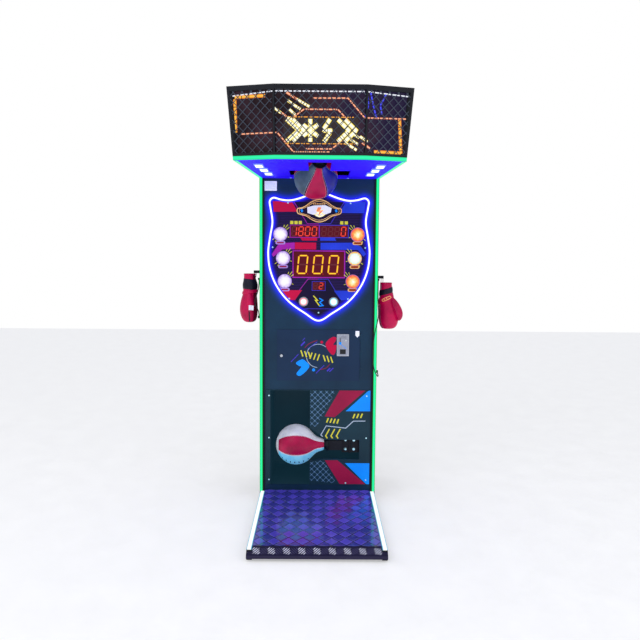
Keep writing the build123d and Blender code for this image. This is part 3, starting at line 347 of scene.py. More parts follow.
def marqueeGlow():
    # backlit acrylic: warm near black, lighter in broad drifts towards its middle and violet to the right
    material, tree, shader = startMaterial("marqueeAcrylic", Roughness=0.4, Specular_IOR_Level=0.2)
    place = addNode(tree, "TexCoord").outputs["Object"]
    drift = addNode(tree, "TexNoise", {"Scale": 5.0, "Detail": 2.0}, {"Vector": place}).outputs["Fac"]
    split = addNode(tree, "SeparateXYZ", links={"Vector": place}).outputs["X"]
    total = addNode(tree, "Math", {1: 0.9}, {0: split, 2: drift}, operation="MULTIPLY_ADD").outputs["Value"]
    colour = rampBetween(tree, total, [(0.2, "#1c0d14"), (0.5, "#36202c"), (0.8, "#1a1030")])
    tree.links.new(colour, shader.inputs["Base Color"])
    tree.links.new(colour, shader.inputs["Emission Color"])
    shader.inputs["Emission Strength"].default_value = 0.55
    return material


def braid():
    # braided polyester: strands cross every 4 mm along the cord
    material, tree, shader = startMaterial("braidedPolyester", Roughness=0.75, Sheen_Weight=0.2)
    place = addNode(tree, "TexCoord").outputs["Object"]
    wave = addNode(tree, "TexWave", {"Scale": 80.0, "Distortion": 4.0}, {"Vector": place},
                   bands_direction="DIAGONAL")
    tree.links.new(rampBetween(tree, wave.outputs["Fac"], [(0.2, "#0a0a0e"), (0.8, "#2a2a34")]),
                   shader.inputs["Base Color"])
    bump = addNode(tree, "Bump", {"Distance": 0.0005}, {"Height": wave.outputs["Fac"]})
    tree.links.new(bump.outputs["Normal"], shader.inputs["Normal"])
    return material


def buttonCap(name, centreX, stops):
    # moulded cap lit from behind: colour by distance from the cap's own centre
    material, tree, shader = startMaterial(name, Roughness=0.2, Coat_Weight=0.5)
    place = addNode(tree, "TexCoord").outputs["Object"]
    moved = addNode(tree, "Mapping", {"Location": (-centreX * mm, 0.0, -1.172), "Scale": (1, 0, 1)},
                    {"Vector": place})
    away = addNode(tree, "VectorMath", links={0: moved.outputs["Vector"]},
                   operation="LENGTH").outputs["Value"]
    reach = addNode(tree, "Math", {1: 1 / 0.021}, {0: away}, operation="MULTIPLY").outputs["Value"]
    colour = rampBetween(tree, reach, stops)
    tree.links.new(colour, shader.inputs["Base Color"])
    tree.links.new(colour, shader.inputs["Emission Color"])
    shader.inputs["Emission Strength"].default_value = 1.2
    return material


scalePrint, scaleHalo = shieldPrint("shieldScalePrint"), shieldPrint("shieldScalePaintedTubeLight", halo=True)
latticeFilm, marqueeAcrylic, braidedCord = latticePrint(), marqueeGlow(), braid()
redCap = buttonCap("redButtonCap", -86, [(0.0, "#ffffff"), (0.55, "#ffe0dc"), (0.9, "#ff6a74"),
                                         (1.0, "#d84a68")])
blueCap = buttonCap("blueButtonCap", 86, [(0.0, "#ffffff"), (0.55, "#e0f8ff"), (0.9, "#70d0f0"),
                                          (1.0, "#50a8e0")])

tetherPath = {
    "right": {"points": [(346, 57, 1292), (346, 57, 1244), (345, 43, 1192), (345, 19, 1146), (345, -10, 1104),
                         (338, -28, 1062), (325, -32, 1010), (316, -31, 950), (313, -30, 886),
                         (314, -31, 830), (321, -32, 788), (334, -28, 757), (346, -12, 740), (350, 10, 743),
                         (347, 33, 757), (347, 58, 757)], "length": 0.65},
    "left": {"points": [(-346, 57, 1292), (-346, 57, 1266), (-350, 42, 1236), (-358, 30, 1206),
                        (-367, 27, 1176), (-366, 30, 1148), (-356, 40, 1128), (-346, 46, 1106),
                        (-346, 46, 1084)], "length": 0.22}}
for side, settings in tetherPath.items():
    curve = bpy.data.curves.new(f"tetherCord_{side}", "CURVE")
    curve.dimensions = "3D"
    curve.bevel_depth = 0.00275
    curve.bevel_resolution = 4
    spline = curve.splines.new("NURBS")
    spline.points.add(len(settings["points"]) - 1)
    for point, (x, y, z) in zip(spline.points, settings["points"]):
        point.co = (x * mm, y * mm, z * mm, 1.0)
    spline.order_u = 3
    spline.use_endpoint_u = True
    spline.resolution_u = 8
    tether = bpy.data.objects.new(f"tetherCord_{side}", curve)
    bpy.context.scene.collection.objects.link(tether)
    curve.materials.append(braidedCord)
    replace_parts(tether, f"tether_{side}")
    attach(tether, "cabinet")
print("stage: camera, materials and cords")

# floor, backdrop and light

studio = {"backdrop": 1.0, "sky": 0.5, "key": 20.0, "fill": 8.0}
floorMesh = bpy.data.meshes.new("studioFloor")
floorMesh.from_pydata([(-9, -9, -0.001), (9, -9, -0.001), (9, 9, -0.001), (-9, 9, -0.001)], [],
                      [(0, 1, 2, 3)])
floor = bpy.data.objects.new("studioFloor", floorMesh)
floorMesh.materials.append(grained("palePaper", "#f4f4f4", "#fcfcfc", 40.0, 0.01, (0.8, 0.9), glow=0.45))
bpy.context.scene.collection.objects.link(floor)
world = bpy.data.worlds.new("studioSky")
bpy.context.scene.world = world
world.use_nodes = True
skyTree = world.node_tree
skyTree.nodes["Background"].inputs["Color"].default_value = toLinear("#f6f8ff")
skyTree.nodes["Background"].inputs["Strength"].default_value = studio["sky"]
seen = addNode(skyTree, "Background", {"Color": toLinear("#ffffff"), "Strength": studio["backdrop"]})
# the backdrop stays white behind the machine while the light on it stays dim
choice = addNode(skyTree, "MixShader", links={0: addNode(skyTree, "LightPath").outputs["Is Camera Ray"]})
skyTree.links.new(skyTree.nodes["Background"].outputs["Background"], choice.inputs[1])
skyTree.links.new(seen.outputs["Background"], choice.inputs[2])
skyTree.links.new(choice.outputs["Shader"], skyTree.nodes["World Output"].inputs["Surface"])
for name, place, turn, size, power in (("keyLight", (-1.8, -2.6, 3.4), (0.75, 0, -0.6), 2.2, studio["key"]),
                                       ("fillLight", (2.2, -2.2, 2.4), (0.95, 0, 0.8), 2.4, studio["fill"])):
    lamp = bpy.data.objects.new(name, bpy.data.lights.new(name, "AREA"))
    lamp.data.size = size
    lamp.data.energy = power
    lamp.location = place
    lamp.rotation_euler = turn
    bpy.context.scene.collection.objects.link(lamp)

# finishes on the carried-over parts

nodeFinish = {
    "base_frame": powderCoat, "deck_board": blackLaminate, "tread_plate": treadVinyl, "nose_plate": noseMetal,
    "platform_rails": powderCoat, "platform_lights": railGlow, "side_panel_left": blackLaminate,
    "side_panel_right": blackLaminate, "back_panel": blackLaminate, "front_panel": midnightFilm,
    "panel_trims": powderCoat, "edge_lights": edgeGlow, "kick_chamber": recessPaintedGlow, "kick_art_panel": artFilm,
    "shield_panel": scalePrint, "small_displays": displayFilter, "score_display": displayFilter,
    "button_housings": chromePlate, "start_button_red": redCap, "start_button_blue": blueCap,
    "panel_screws": nickelPlatePaintedReflection, "head_frame": powderCoat, "head_sides": blackLaminate,
    "head_top_cover": blackLaminate, "soffit_panel": soffitBlue, "soffit_lamps": modulePlate,
    "marquee_screen": marqueeAcrylic, "marquee_mesh": powderCoat, "marquee_frame": powderCoat,
    "canopy_light": canopyGlow, "punch_shaft": brushedSteel, "punch_arm": powderCoat,
    "punch_bearings": powderCoat, "holding_magnet": chromePlate, "kick_arm": powderCoat,
    "kick_bracket": powderCoat, "coin_door": doorFilm, "coin_mech_plate": brushedSteel, "coin_mech": mouldedAbs,
    "coin_lock": chromePlate, "reject_button": chromePlate, "return_flap": mouldedAbs, "coin_box": brushedSteel,
    "rear_door": blackLaminate, "rear_lock": chromePlate, "door_hinges": midnightFilm, "main_board": solderMask,
    "power_inlet": mouldedAbs, "glove_holders": powderCoat, "wheel_left": mouldedRubber,
    "wheel_right": mouldedRubber}
for name, finish in nodeFinish.items():
    nodes[name].data.materials.clear()
    nodes[name].data.materials.append(finish)
print("stage: finishes on", len(nodeFinish), "parts")

# mesh helpers


def gridFaces(rows, columns, closeRows=False, closeColumns=False):
    # quads between neighbours of a rows by columns grid; closing joins the last line back to the first
    r = np.arange(rows if closeRows else rows - 1)[:, None]
    c = np.arange(columns if closeColumns else columns - 1)[None, :]
    rNext, cNext = (r + 1) % rows, (c + 1) % columns
    corners = [r * columns + c, rNext * columns + c, rNext * columns + cNext, r * columns + cNext]
    return np.stack([np.broadcast_to(k, (r.size, c.size)).ravel() for k in corners], axis=1)


def throughPoints(points, count, closed=False):
    # Catmull-Rom: each span is the cubic whose end slopes are half the step between a point's neighbours
    p = np.asarray(points, float)
    n = len(p)
    s = np.linspace(0, n if closed else n - 1, count, endpoint=not closed)
    i = np.minimum(np.floor(s).astype(int), n - 1 if closed else n - 2)
    f = (s - i)[:, None]
    pick = (lambda k: p[k % n]) if closed else (lambda k: p[np.clip(k, 0, n - 1)])
    a, b, c, d = pick(i - 1), pick(i), pick(i + 1), pick(i + 2)
    return 0.5 * (2 * b + (c - a) * f + (2 * a - 5 * b + 4 * c - d) * f ** 2 + (3 * b - a - 3 * c + d) * f ** 3)


def unit(v):
    return v / np.maximum(np.linalg.norm(v, axis=-1, keepdims=True), 1e-12)


def carried(path, profile, normal, closed=False, scale=None):
    # a profile carried along a path: point = path + side * u + normal * v, where side is across the run in
    # the surface, lengthened at a corner by one over the cosine of half its turn; returns points, faces,
    # across
    path = np.asarray(path, float)
    normal = np.broadcast_to(np.asarray(normal, float), path.shape)
    profile = np.asarray(profile, float)
    step = unit(np.roll(path, -1, 0) - path)
    if not closed:
        step[-1] = step[-2]
    before = np.roll(step, 1, 0)
    if not closed:
        before[0] = step[0]
    along = unit(step + before)
    side = unit(np.cross(along, normal)) / np.maximum((along * step).sum(1, keepdims=True), 0.35)
    size = np.ones(len(path)) if scale is None else np.asarray(scale)
    points = (path[:, None] + side[:, None] * (profile[None, :, :1] * size[:, None, None])
              + normal[:, None] * (profile[None, :, 1:] * size[:, None, None]))
    faces = gridFaces(len(path), len(profile), closed, True).tolist()
    if not closed:
        ring = list(range(len(profile)))
        last = (len(path) - 1) * len(profile)
        faces += [ring, [last + k for k in ring]]
    reach = max(np.abs(profile[:, 0]).max(), 1e-9)
    across = np.tile(np.abs(profile[:, 0]) / reach, len(path))
    return points.reshape(-1, 3), faces, across


def flatShape(outline, y0, y1):
    # a thin plate: an outline in x, z at two depths, joined round its edge
    outline = np.asarray(outline, float)
    n = len(outline)
    layer = [np.column_stack([outline[:, 0], np.full(n, y), outline[:, 1]]) for y in (y0, y1)]
    ring = np.arange(n)
    sides = np.column_stack([ring, (ring + 1) % n, (ring + 1) % n + n, ring + n]).tolist()
    faces = [ring.tolist(), (ring[::-1] + n).tolist()] + sides
    centre = outline.mean(0)
    away = np.linalg.norm(outline - centre, axis=1)
    return np.vstack(layer), faces, np.tile(away / away.max(), 2)


def flatLine(points, width, y0, y1, closed=False):
    # a stroke of one width along a run of x, z points, between two depths
    points = np.asarray(points, float)
    path = np.column_stack([points[:, 0], np.full(len(points), (y0 + y1) / 2), points[:, 1]])
    w, h = width / 2, abs(y1 - y0) / 2
    return carried(path, [(-w, -h), (0, -h), (w, -h), (w, h), (0, h), (-w, h)], (0, -1, 0), closed)


def discPoints(x, z, radius, count=40):
    turn = np.linspace(0, 2 * np.pi, count, endpoint=False)
    return np.column_stack([x + radius * np.cos(turn), z + radius * np.sin(turn)])


def box4(x0, x1, z0, z1):
    return [(x0, z0), (x1, z0), (x1, z1), (x0, z1)]


def dashed(points, dash, gap, start=0.0):
    # cuts a run of points into dashes: ends are read off the run at even steps of its length
    points = np.asarray(points, float)
    length = np.concatenate([[0], np.cumsum(np.linalg.norm(np.diff(points, axis=0), axis=1))])
    starts = np.arange(start, length[-1] - 1, dash + gap)
    ends = np.minimum(starts + dash, length[-1])
    pick = lambda s: np.column_stack([np.interp(s, length, points[:, k]) for k in range(points.shape[1])])
    return list(np.stack([pick(starts), pick((starts + ends) / 2), pick(ends)], axis=1))


def makePiece(name, shapes, finish, body, move=None, smooth=False, pick=None, weld=True):
    # joins shapes (points in mm, faces, across value) into one mesh piece that rides on a body
    points = np.vstack([np.asarray(s[0], float) for s in shapes])
    if move is not None:
        points = move(points)
    counts = np.cumsum([0] + [len(s[0]) for s in shapes])
    faces = [[k + shift for k in face] for s, shift in zip(shapes, counts.tolist()) for face in s[1]]
    mesh = bpy.data.meshes.new(name)
    mesh.from_pydata((points * mm).tolist(), [], faces)
    if all(len(s) > 2 for s in shapes):
        values = np.concatenate([np.asarray(s[2], float) for s in shapes]).astype(np.float32)
        mesh.attributes.new("across", "FLOAT", "POINT").data.foreach_set("value", values)
    for item in (finish if isinstance(finish, list) else [finish]):
        mesh.materials.append(item)
    if pick is not None:
        mesh.polygons.foreach_set("material_index", np.asarray(pick, np.int32))
    work = bmesh.new()
    work.from_mesh(mesh)
    if weld:
        bmesh.ops.remove_doubles(work, verts=work.verts, dist=1e-7)
    bmesh.ops.recalc_face_normals(work, faces=work.faces)
    work.to_mesh(mesh)
    work.free()
    if smooth:
        mesh.polygons.foreach_set("use_smooth", np.ones(len(mesh.polygons), bool))
    piece = bpy.data.objects.new(name, mesh)
    bpy.context.scene.collection.objects.link(piece)
    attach(piece, body)
    return piece


# tread lozenges and nose bars

tread = {"half": (32.5, 39.0), "top": (28.0, 33.5), "rise": 1.9, "tilt": 0.9, "pitch": (70.0, 84.0),
         "x": 307.0, "y": (-742.0, -1.0), "z": 57.5}


def lozenges(phase, lean):
    # one lozenge is two diamonds joined; its top leans along Y; copies stand on a grid of centres
    px, py = tread["pitch"]
    gx, gy = np.meshgrid(np.arange(-5, 6) * px + phase * px / 2,
                         -20 - np.arange(-1, 10) * py - phase * py / 2)
    keep = ((np.abs(gx) - 28 < tread["x"]) & (gy + 33 > tread["y"][0]) & (gy - 33 < tread["y"][1])).ravel()
    centres = np.column_stack([gx.ravel(), gy.ravel(), np.full(gx.size, tread["z"])])[keep]
    unitDiamond = np.array([(1, 0), (0, 1), (-1, 0), (0, -1)], float)
    low = np.column_stack([unitDiamond * tread["half"], np.zeros(4)])
    crown = tread["rise"] + lean * tread["tilt"] * unitDiamond[:, 1]
    high = np.column_stack([unitDiamond * tread["top"], crown])
    single = np.vstack([low, high])
    points = (centres[:, None] + single[None]).reshape(-1, 3)
    points[:, 0] = np.clip(points[:, 0], -tread["x"], tread["x"])
    points[:, 1] = np.clip(points[:, 1], *tread["y"])
    quad = np.array([(0, 1, 5, 4), (1, 2, 6, 5), (2, 3, 7, 6), (3, 0, 4, 7), (4, 5, 6, 7), (3, 2, 1, 0)])
    faces = (np.arange(len(centres))[:, None, None] * 8 + quad[None]).reshape(-1, 4).tolist()
    return points, faces


# painted light: this row set is the lit copy, the offset rows the shaded copy
makePiece("treadLozengesPaintedLit", [lozenges(0, 1)], treadLitCopy, "cabinet", weld=False)
makePiece("treadLozengesPaintedShade", [lozenges(1, -1)], treadShadedCopy, "cabinet", weld=False)

nose = {"groups": 17, "pitch": 36.0, "bars": 5, "step": 9.0, "length": 46.0, "width": 3.0, "rise": 1.5,
        "lean": 45, "run": (45.0, 27.5), "middle": (-765.5, 43.75), "front": -787.8}


def noseBars(parity):
    # each bar is a low lens, pointed at both ends; groups of five lean left and right in turn
    lens = np.array([(-0.5, 0, 0), (-0.25, -0.5, 0), (0.25, -0.5, 0), (0.5, 0, 0), (0.25, 0.5, 0),
                     (-0.25, 0.5, 0), (-0.3, 0, 1), (0.3, 0, 1)])
    lens = lens * (nose["length"], nose["width"], nose["rise"])
    quads = [(0, 1, 6), (1, 2, 7, 6), (2, 3, 7), (3, 4, 7), (4, 5, 6, 7), (5, 0, 6), (5, 4, 3, 2, 1, 0)]
    shapes = []
    for group in range(parity, nose["groups"], 2):
        lean = math.radians(nose["lean"] if group % 2 == 0 else -nose["lean"])
        centre = (group - (nose["groups"] - 1) / 2) * nose["pitch"]
        offsets = (np.arange(nose["bars"]) - (nose["bars"] - 1) / 2) * nose["step"]
        length = lens[None] * np.column_stack([1 - np.abs(offsets) / 30, np.ones(5), np.ones(5)])[:, None]
        u = length[..., 0] * math.cos(lean) - (length[..., 1] + offsets[:, None]) * math.sin(lean)
        v = length[..., 0] * math.sin(lean) + (length[..., 1] + offsets[:, None]) * math.cos(lean)
        points = np.stack([centre + u, v, length[..., 2]], axis=-1).reshape(-1, 3)
        shapes += [(points, [[k + 8 * b for k in q] for b in range(nose["bars"]) for q in quads])]
    return shapes


def toNose(points):  # lays x, v, rise on the sloping nose face, v running up the slope
    slope = math.atan2(nose["run"][1], nose["run"][0])
    y0, z0 = nose["middle"]
    v, rise = points[:, 1], points[:, 2]
    y = y0 + v * math.cos(slope) - rise * math.sin(slope)
    z = z0 + v * math.sin(slope) + rise * math.cos(slope)
    return np.column_stack([points[:, 0], np.maximum(y, nose["front"]), z])


# painted light: the groups leaning one way get the glint, the groups leaning the other way the shade
makePiece("noseBarsPaintedGlint", noseBars(0), barPaintedGlint, "cabinet", move=toNose, weld=False)
makePiece("noseBarsPaintedShade", noseBars(1), barPaintedShade, "cabinet", move=toNose, weld=False)
print("stage: platform")

# neon tube round the shield

shieldEdge = [(0, 1063), (78, 1106), (169, 1171), (238, 1257), (277, 1352), (288, 1450), (277, 1540),
              (264, 1622), (275, 1700), (279, 1738), (258, 1757), (215, 1747), (170, 1743), (122, 1752),
              (60, 1774), (0, 1800)]
shieldLoop = throughPoints(shieldEdge + [(-x, z) for x, z in reversed(shieldEdge[1:-1])], 300, closed=True)
tube = {"radius": 4.7, "baseHalf": 12.0, "front": -4.0, "halo": 62.0, "limit": 310.0, "lift": 6.0,
        "dome": 5.2}
tubePath = np.column_stack([shieldLoop[:, 0], np.full(300, tube["front"]), shieldLoop[:, 1]])
arc = np.linspace(0, np.pi, 13)
dome = np.column_stack([tube["radius"] * np.cos(arc), tube["lift"] + tube["dome"] * np.sin(arc)])
domeProfile = np.vstack([[(tube["radius"], 0.6)], dome, [(-tube["radius"], 0.6)]])
neonTube = makePiece("neonTube", [carried(tubePath, domeProfile, (0, -1, 0), closed=True)], tubeCore,
                     "cabinet", smooth=True)
w = tube["baseHalf"]
baseProfile = [(-w, 0), (-w + 1, 1.2), (-6, 1.8), (0, 1.9), (6, 1.8), (w - 1, 1.2), (w, 0)]
makePiece("neonBase", [carried(tubePath, baseProfile, (0, -1, 0), closed=True)], tubeBase, "cabinet",
          smooth=True)
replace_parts(neonTube, "shield_neon")


def haloStrip(side, depth, reach, thick):
    # a flat strip beside the tube, from its edge out to reach along the outline's normal
    step = np.roll(shieldLoop, -1, 0) - np.roll(shieldLoop, 1, 0)
    normal = unit(np.column_stack([step[:, 1], -step[:, 0]])) * side
    span = np.linspace(0, 1, 12)[:, None, None]
    flat = shieldLoop + normal * (tube["baseHalf"] - 3 + (reach - tube["baseHalf"] + 3) * span)
    flat[..., 0] = np.clip(flat[..., 0], -tube["limit"], tube["limit"])
    layers = [np.stack([flat[..., 0], np.full(flat.shape[:2], y), flat[..., 1]], axis=-1)
              for y in (depth, depth + thick)]
    grid = np.concatenate([layers[0], layers[1][::-1]])
    count = flat.shape[1]
    across = np.concatenate([span[:, 0], span[::-1, 0]]) * np.ones((1, count))
    return grid.reshape(-1, 3), gridFaces(24, count, True, True).tolist(), across.ravel()


# painted light: the tube's glow laid on the film outside the tube and on the print inside it
makePiece("tubeHaloOuter", [haloStrip(1, -0.4, tube["halo"], 0.35)], midnightHalo, "cabinet")
makePiece("tubeHaloInner", [haloStrip(-1, -4.25, 44.0, 0.25)], scaleHalo, "cabinet")

# shield print, in layers a fraction of a millimetre thick

shieldInk = {
    "shieldRed": (inkRed, [[(-262, 1738), (-155, 1739), (-122, 1681), (-258, 1679)],
                           [(-106, 1535), (-11, 1535), (-11, 1519), (-96, 1519)],
                           [(-137, 1508), (-16, 1508), (-16, 1469), (-137, 1469)],
                           [(-222, 1236), (-95, 1237), (-136, 1180), (-173, 1180)]], []),
    "shieldBlue": (inkBlue, [[(152, 1737), (262, 1737), (254, 1675), (111, 1675)],
                             [(6, 1535), (89, 1536), (98, 1519), (6, 1519)],
                             [(9, 1507), (186, 1509), (240, 1487), (268, 1446), (254, 1430), (221, 1468),
                              (9, 1468)],
                             [(87, 1236), (214, 1236), (170, 1185), (129, 1180)]], []),
    "shieldMagenta": (inkMagenta, [[(-268, 1440), (-227, 1503), (-138, 1508), (-138, 1469), (-208, 1468),
                                    (-259, 1426)]],
                      [([(-145, 1739), (-67, 1614), (-4, 1614)], 3.2, False),
                       ([(-136, 1180), (-114, 1232), (-61, 1301), (-4, 1301)], 3.2, False),
                       (box4(-164, 0, 1537, 1606), 3.6, True), (box4(-147, 147, 1310, 1461), 6.0, True)]),
    "shieldViolet": (inkViolet, [],
                     [([(142, 1738), (64, 1614), (-4, 1614)], 3.2, False),
                      ([(130, 1181), (54, 1301), (-4, 1301)], 3.2, False),
                      (box4(2, 166, 1537, 1606), 3.6, True), (box4(-38, 38, 1236, 1287), 2.4, True),
                      ([(-92, 1122), (-74, 1131), (73, 1131), (93, 1122)], 2.6, False)]),
    "shieldDark": (inkDark, [[(-58, 1298), (-38, 1298), (-38, 1118), (-96, 1140), (-132, 1182), (-110, 1232)],
                             [(54, 1298), (38, 1298), (38, 1118), (96, 1140), (128, 1182), (108, 1232)],
                             [(-38, 1234), (38, 1234), (38, 1118), (0, 1090), (-38, 1118)],
                             [(-140, 1736), (138, 1736), (64, 1619), (-66, 1619)]], []),
    "shieldLabels": (inkYellow, [box4(-164 + k * 24, -146 + k * 24, 1611, 1629) for k in range(3)]
                     + [box4(119 + k * 26, 137 + k * 26, 1611, 1629) for k in range(2)],
                     [([(-30, 1206), (-6, 1180), (-18, 1180), (4, 1150)], 6.0, False)]),
    "shieldMark": (inkSky, [], [([(4, 1192), (24, 1180), (6, 1168), (26, 1150), (4, 1146)], 6.0, False)]),
}
layerPlace = {"shieldDark": -4.35, "shieldViolet": -4.6, "shieldMagenta": -4.7}
for name, (ink, fills, lines) in shieldInk.items():
    front = layerPlace.get(name, -4.9)
    shapes = [flatShape(fill, front, -4.0) for fill in fills]
    shapes += [flatLine(points, width, front - 0.15, -4.0, closed) for points, width, closed in lines]
    makePiece(name, shapes, ink, "cabinet")

belt = {"centre": (0, 1687), "edge": [(-125, 1687), (-120, 1699), (-98, 1703), (-72, 1716), (-40, 1738),
                                      (0, 1749), (40, 1738), (72, 1716), (98, 1703), (120, 1699), (125, 1687),
                                      (120, 1672), (98, 1664), (70, 1656), (36, 1634), (0, 1624), (-36, 1634),
                                      (-70, 1656), (-98, 1664), (-120, 1672)]}
beltLine = throughPoints(belt["edge"], 120, closed=True)
beltInner = (beltLine - belt["centre"]) * (0.9, 0.84) + belt["centre"]
makePiece("beltGold", [flatLine(beltLine, 5.0, -5.4, -4.0, True), flatLine(beltInner, 2.4, -5.4, -4.0, True)]
          + [flatShape(box4(-34 + k * 10, -28 + k * 10, 1722, 1728), -5.4, -4.0) for k in range(7)],
          inkGold, "cabinet")
makePiece("beltField", [flatShape(beltLine, -5.1, -4.0)], inkDark, "cabinet")
makePiece("beltPlate", [flatShape([(-68, 1706), (-30, 1716), (34, 1718), (70, 1702), (66, 1678), (30, 1664),
                                   (-34, 1664), (-66, 1674)], -5.6, -4.0)], inkWhite, "cabinet")
starTurn = np.arange(12) * np.pi / 6 + np.pi / 2
starReach = np.where(np.arange(12) % 2 == 0, 27.0, 12.0)
star = np.column_stack([2 + starReach * np.cos(starTurn), 1680 + starReach * np.sin(starTurn)])
makePiece("beltStar", [flatShape(star, -6.1, -4.0), flatShape([(-32, 1668), (-16, 1656), (2, 1650),
                                                               (22, 1656),
                                                              (38, 1668), (2, 1660)], -6.0, -4.0)],
          ledYellow, "cabinet")
makePiece("beltSpark", [flatShape([(-8, 1706), (12, 1706), (6, 1690), (22, 1688), (-4, 1660), (0, 1680),
                                   (-16, 1682)], -6.5, -4.0)], ledOrange, "cabinet")
makePiece("beltSides", [flatShape([(x, 1690), (x + 9, 1698), (x + 16, 1684), (x + 7, 1676)], -5.6, -4.0)
                        for x in (-106, 88)], inkSky, "cabinet")

# lamps: six shallow lenses on printed collars, with rays and a label pill

lampPlaces = [(-219, 1554, lampWhite), (-204, 1419, lampWhite), (-194, 1288, lampWhite),
              (219, 1554, lampAmber), (204, 1419, lampPale), (194, 1288, lampAmber)]
lens = {"radius": 38.5, "front": -9.0, "rise": 11.0}


def lampLens(x, z):
    # a dome: height falls as the square of the distance from its centre; across is that distance over the
    # radius
    r = np.concatenate([np.linspace(0, 1, 15), [1.0]])[:, None]
    turn = np.linspace(0, 2 * np.pi, 48, endpoint=False)[None]
    px, pz = x + lens["radius"] * r * np.cos(turn), z + lens["radius"] * r * np.sin(turn)
    py = np.broadcast_to(lens["front"] - lens["rise"] * (1 - r ** 2), px.shape).copy()
    py[-1] = -4.2
    points = np.stack([px, py, pz], axis=-1).reshape(-1, 3)
    faces = gridFaces(16, 48, closeColumns=True).tolist()
    faces.append(list(range(15 * 48, 16 * 48)))
    return points, faces, np.broadcast_to(r, px.shape).ravel()


collarTurn = np.linspace(0, 2 * np.pi, 56, endpoint=False)
collars = []
for index, (x, z, finish) in enumerate(lampPlaces):
    piece = makePiece(f"lampLens_{index}", [lampLens(x, z)], finish, "cabinet", smooth=True)
    if index == 0:
        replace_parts(piece, "score_lamps")
    ring = np.column_stack([x + 39.0 * np.cos(collarTurn), np.full(56, -4.0), z + 39.0 * np.sin(collarTurn)])
    collars.append(carried(ring, [(-1.2, 0), (-1.2, 4.5), (0, 5.2), (1.2, 4.5), (1.2, 0)], (0, -1, 0), True))
makePiece("lampCollars", collars, inkLilac, "cabinet")


def pill(x, z, halfWidth, halfHeight):
    turn = np.linspace(0, 2 * np.pi, 28, endpoint=False)
    return np.column_stack([x + np.cos(turn) * halfHeight + np.sign(np.cos(turn)) * (halfWidth - halfHeight),
                            z + np.sin(turn) * halfHeight])


pillLook = {"pillPlatesLeft": (lampPlaces[:3], 28, 9.5, -5.2, inkLilac),
            "pillPlatesRight": (lampPlaces[3:], 28, 9.5, -5.2, inkGold),
            "pillBarsLeft": (lampPlaces[:3], 20, 4, -5.6, inkWine),
            "pillBarsRight": (lampPlaces[3:], 22, 6, -5.6, inkRust)}
for name, (places, halfWidth, halfHeight, front, ink) in pillLook.items():
    makePiece(name, [flatShape(pill(x, z - 48, halfWidth, halfHeight), front, -4.0) for x, z, _ in places],
              ink, "cabinet")
rays = []
for x, z, _ in lampPlaces:
    inward = -1 if x > 0 else 1
    for angle, reach in ((38, 20), (52, 26), (66, 14), (-20, 10), (215, 14), (235, 10)):
        way = np.array([inward * math.cos(math.radians(angle)), math.sin(math.radians(angle))])
        start = np.array([x, z]) + way * 43
        if 1100 < start[1]:
            rays.append(flatLine([start, start + way * reach], 3.2, -5.0, -4.0))
makePiece("lampRays", rays, inkYellow, "cabinet")

# digits: seven slanted bars each

segmentEnds = {"a": ((0, 1), (1, 1)), "b": ((1, 1), (1, 0.5)), "c": ((1, 0.5), (1, 0)), "d": ((0, 0), (1, 0)),
               "e": ((0, 0.5), (0, 0)), "f": ((0, 1), (0, 0.5)), "g": ((0, 0.5), (1, 0.5))}
segmentsLit = {"0": "abcdef", "1": "bc", "2": "abged", "8": "abcdefg", " ": ""}


def digitBars(character, x, z, width, height, bar, slant, front, wanted):
    shapes = []
    for key, (first, second) in segmentEnds.items():
        if (key in segmentsLit[character]) != wanted:
            continue
        a, b = (np.array([x + u * width + v * height * slant, z + v * height]) for u, v in (first, second))
        way = (b - a) / np.linalg.norm(b - a)
        side = np.array([-way[1], way[0]]) * bar / 2
        a, b = a + way * bar * 0.18, b - way * bar * 0.18
        inner = [a + way * bar / 2, b - way * bar / 2]
        hexagon = [a, inner[0] + side, inner[1] + side, b, inner[1] - side, inner[0] - side]
        flat = np.array(hexagon + hexagon + inner)
        depth = np.array([front] * 6 + [front + 1.0] * 6 + [front] * 2)
        faces = [(0, 1, 12), (5, 0, 12), (1, 2, 13, 12), (2, 3, 13), (3, 4, 13), (4, 5, 12, 13),
                 (11, 10, 9, 8, 7, 6)] + [(k, (k + 1) % 6, (k + 1) % 6 + 6, k + 6) for k in range(6)]
        points = np.column_stack([flat[:, 0], depth, flat[:, 1]])
        shapes.append((points, faces, np.array([1.0] * 12 + [0.0] * 2)))
    return shapes


readouts = {
    "digitsScore": {"text": "000", "x": -123, "step": 88, "z": 1333, "width": 50, "height": 101, "bar": 9.5,
                    "slant": 0.1, "front": -4.2, "ink": digitAmber},
    "digitsPrevious": {"text": "1800", "x": -156, "step": 38, "z": 1546, "width": 25, "height": 50,
                       "bar": 6.2, "slant": 0.1, "front": -4.2, "ink": digitRed},
    "digitsRecord": {"text": "   0", "x": 13, "step": 37, "z": 1546, "width": 24, "height": 50, "bar": 6.2,
                     "slant": 0.1, "front": -4.2, "ink": digitRed},
    "digitsCredit": {"text": " 2", "x": -30, "step": 32, "z": 1245, "width": 20, "height": 34, "bar": 4.8,
                     "slant": 0.08, "front": -4.2, "ink": digitRed},
}
unlit = []
for name, r in readouts.items():
    shapes = []
    for place, character in enumerate(r["text"]):
        values = (character, r["x"] + place * r["step"], r["z"], r["width"], r["height"], r["bar"],
                  r["slant"], r["front"])
        shapes += digitBars(*values, True)
        unlit += digitBars(*values, False)
    makePiece(name, shapes, r["ink"], "cabinet")
makePiece("digitsUnlit", unlit, digitDim, "cabinet")
makePiece("digitPoints", [flatShape(discPoints(x, 1330, 2.6, 12), -4.2, -3.2) for x in (-64, 24, 112)],
          digitRed, "cabinet")

# canopy underside: lamp pills, and strips along both side edges

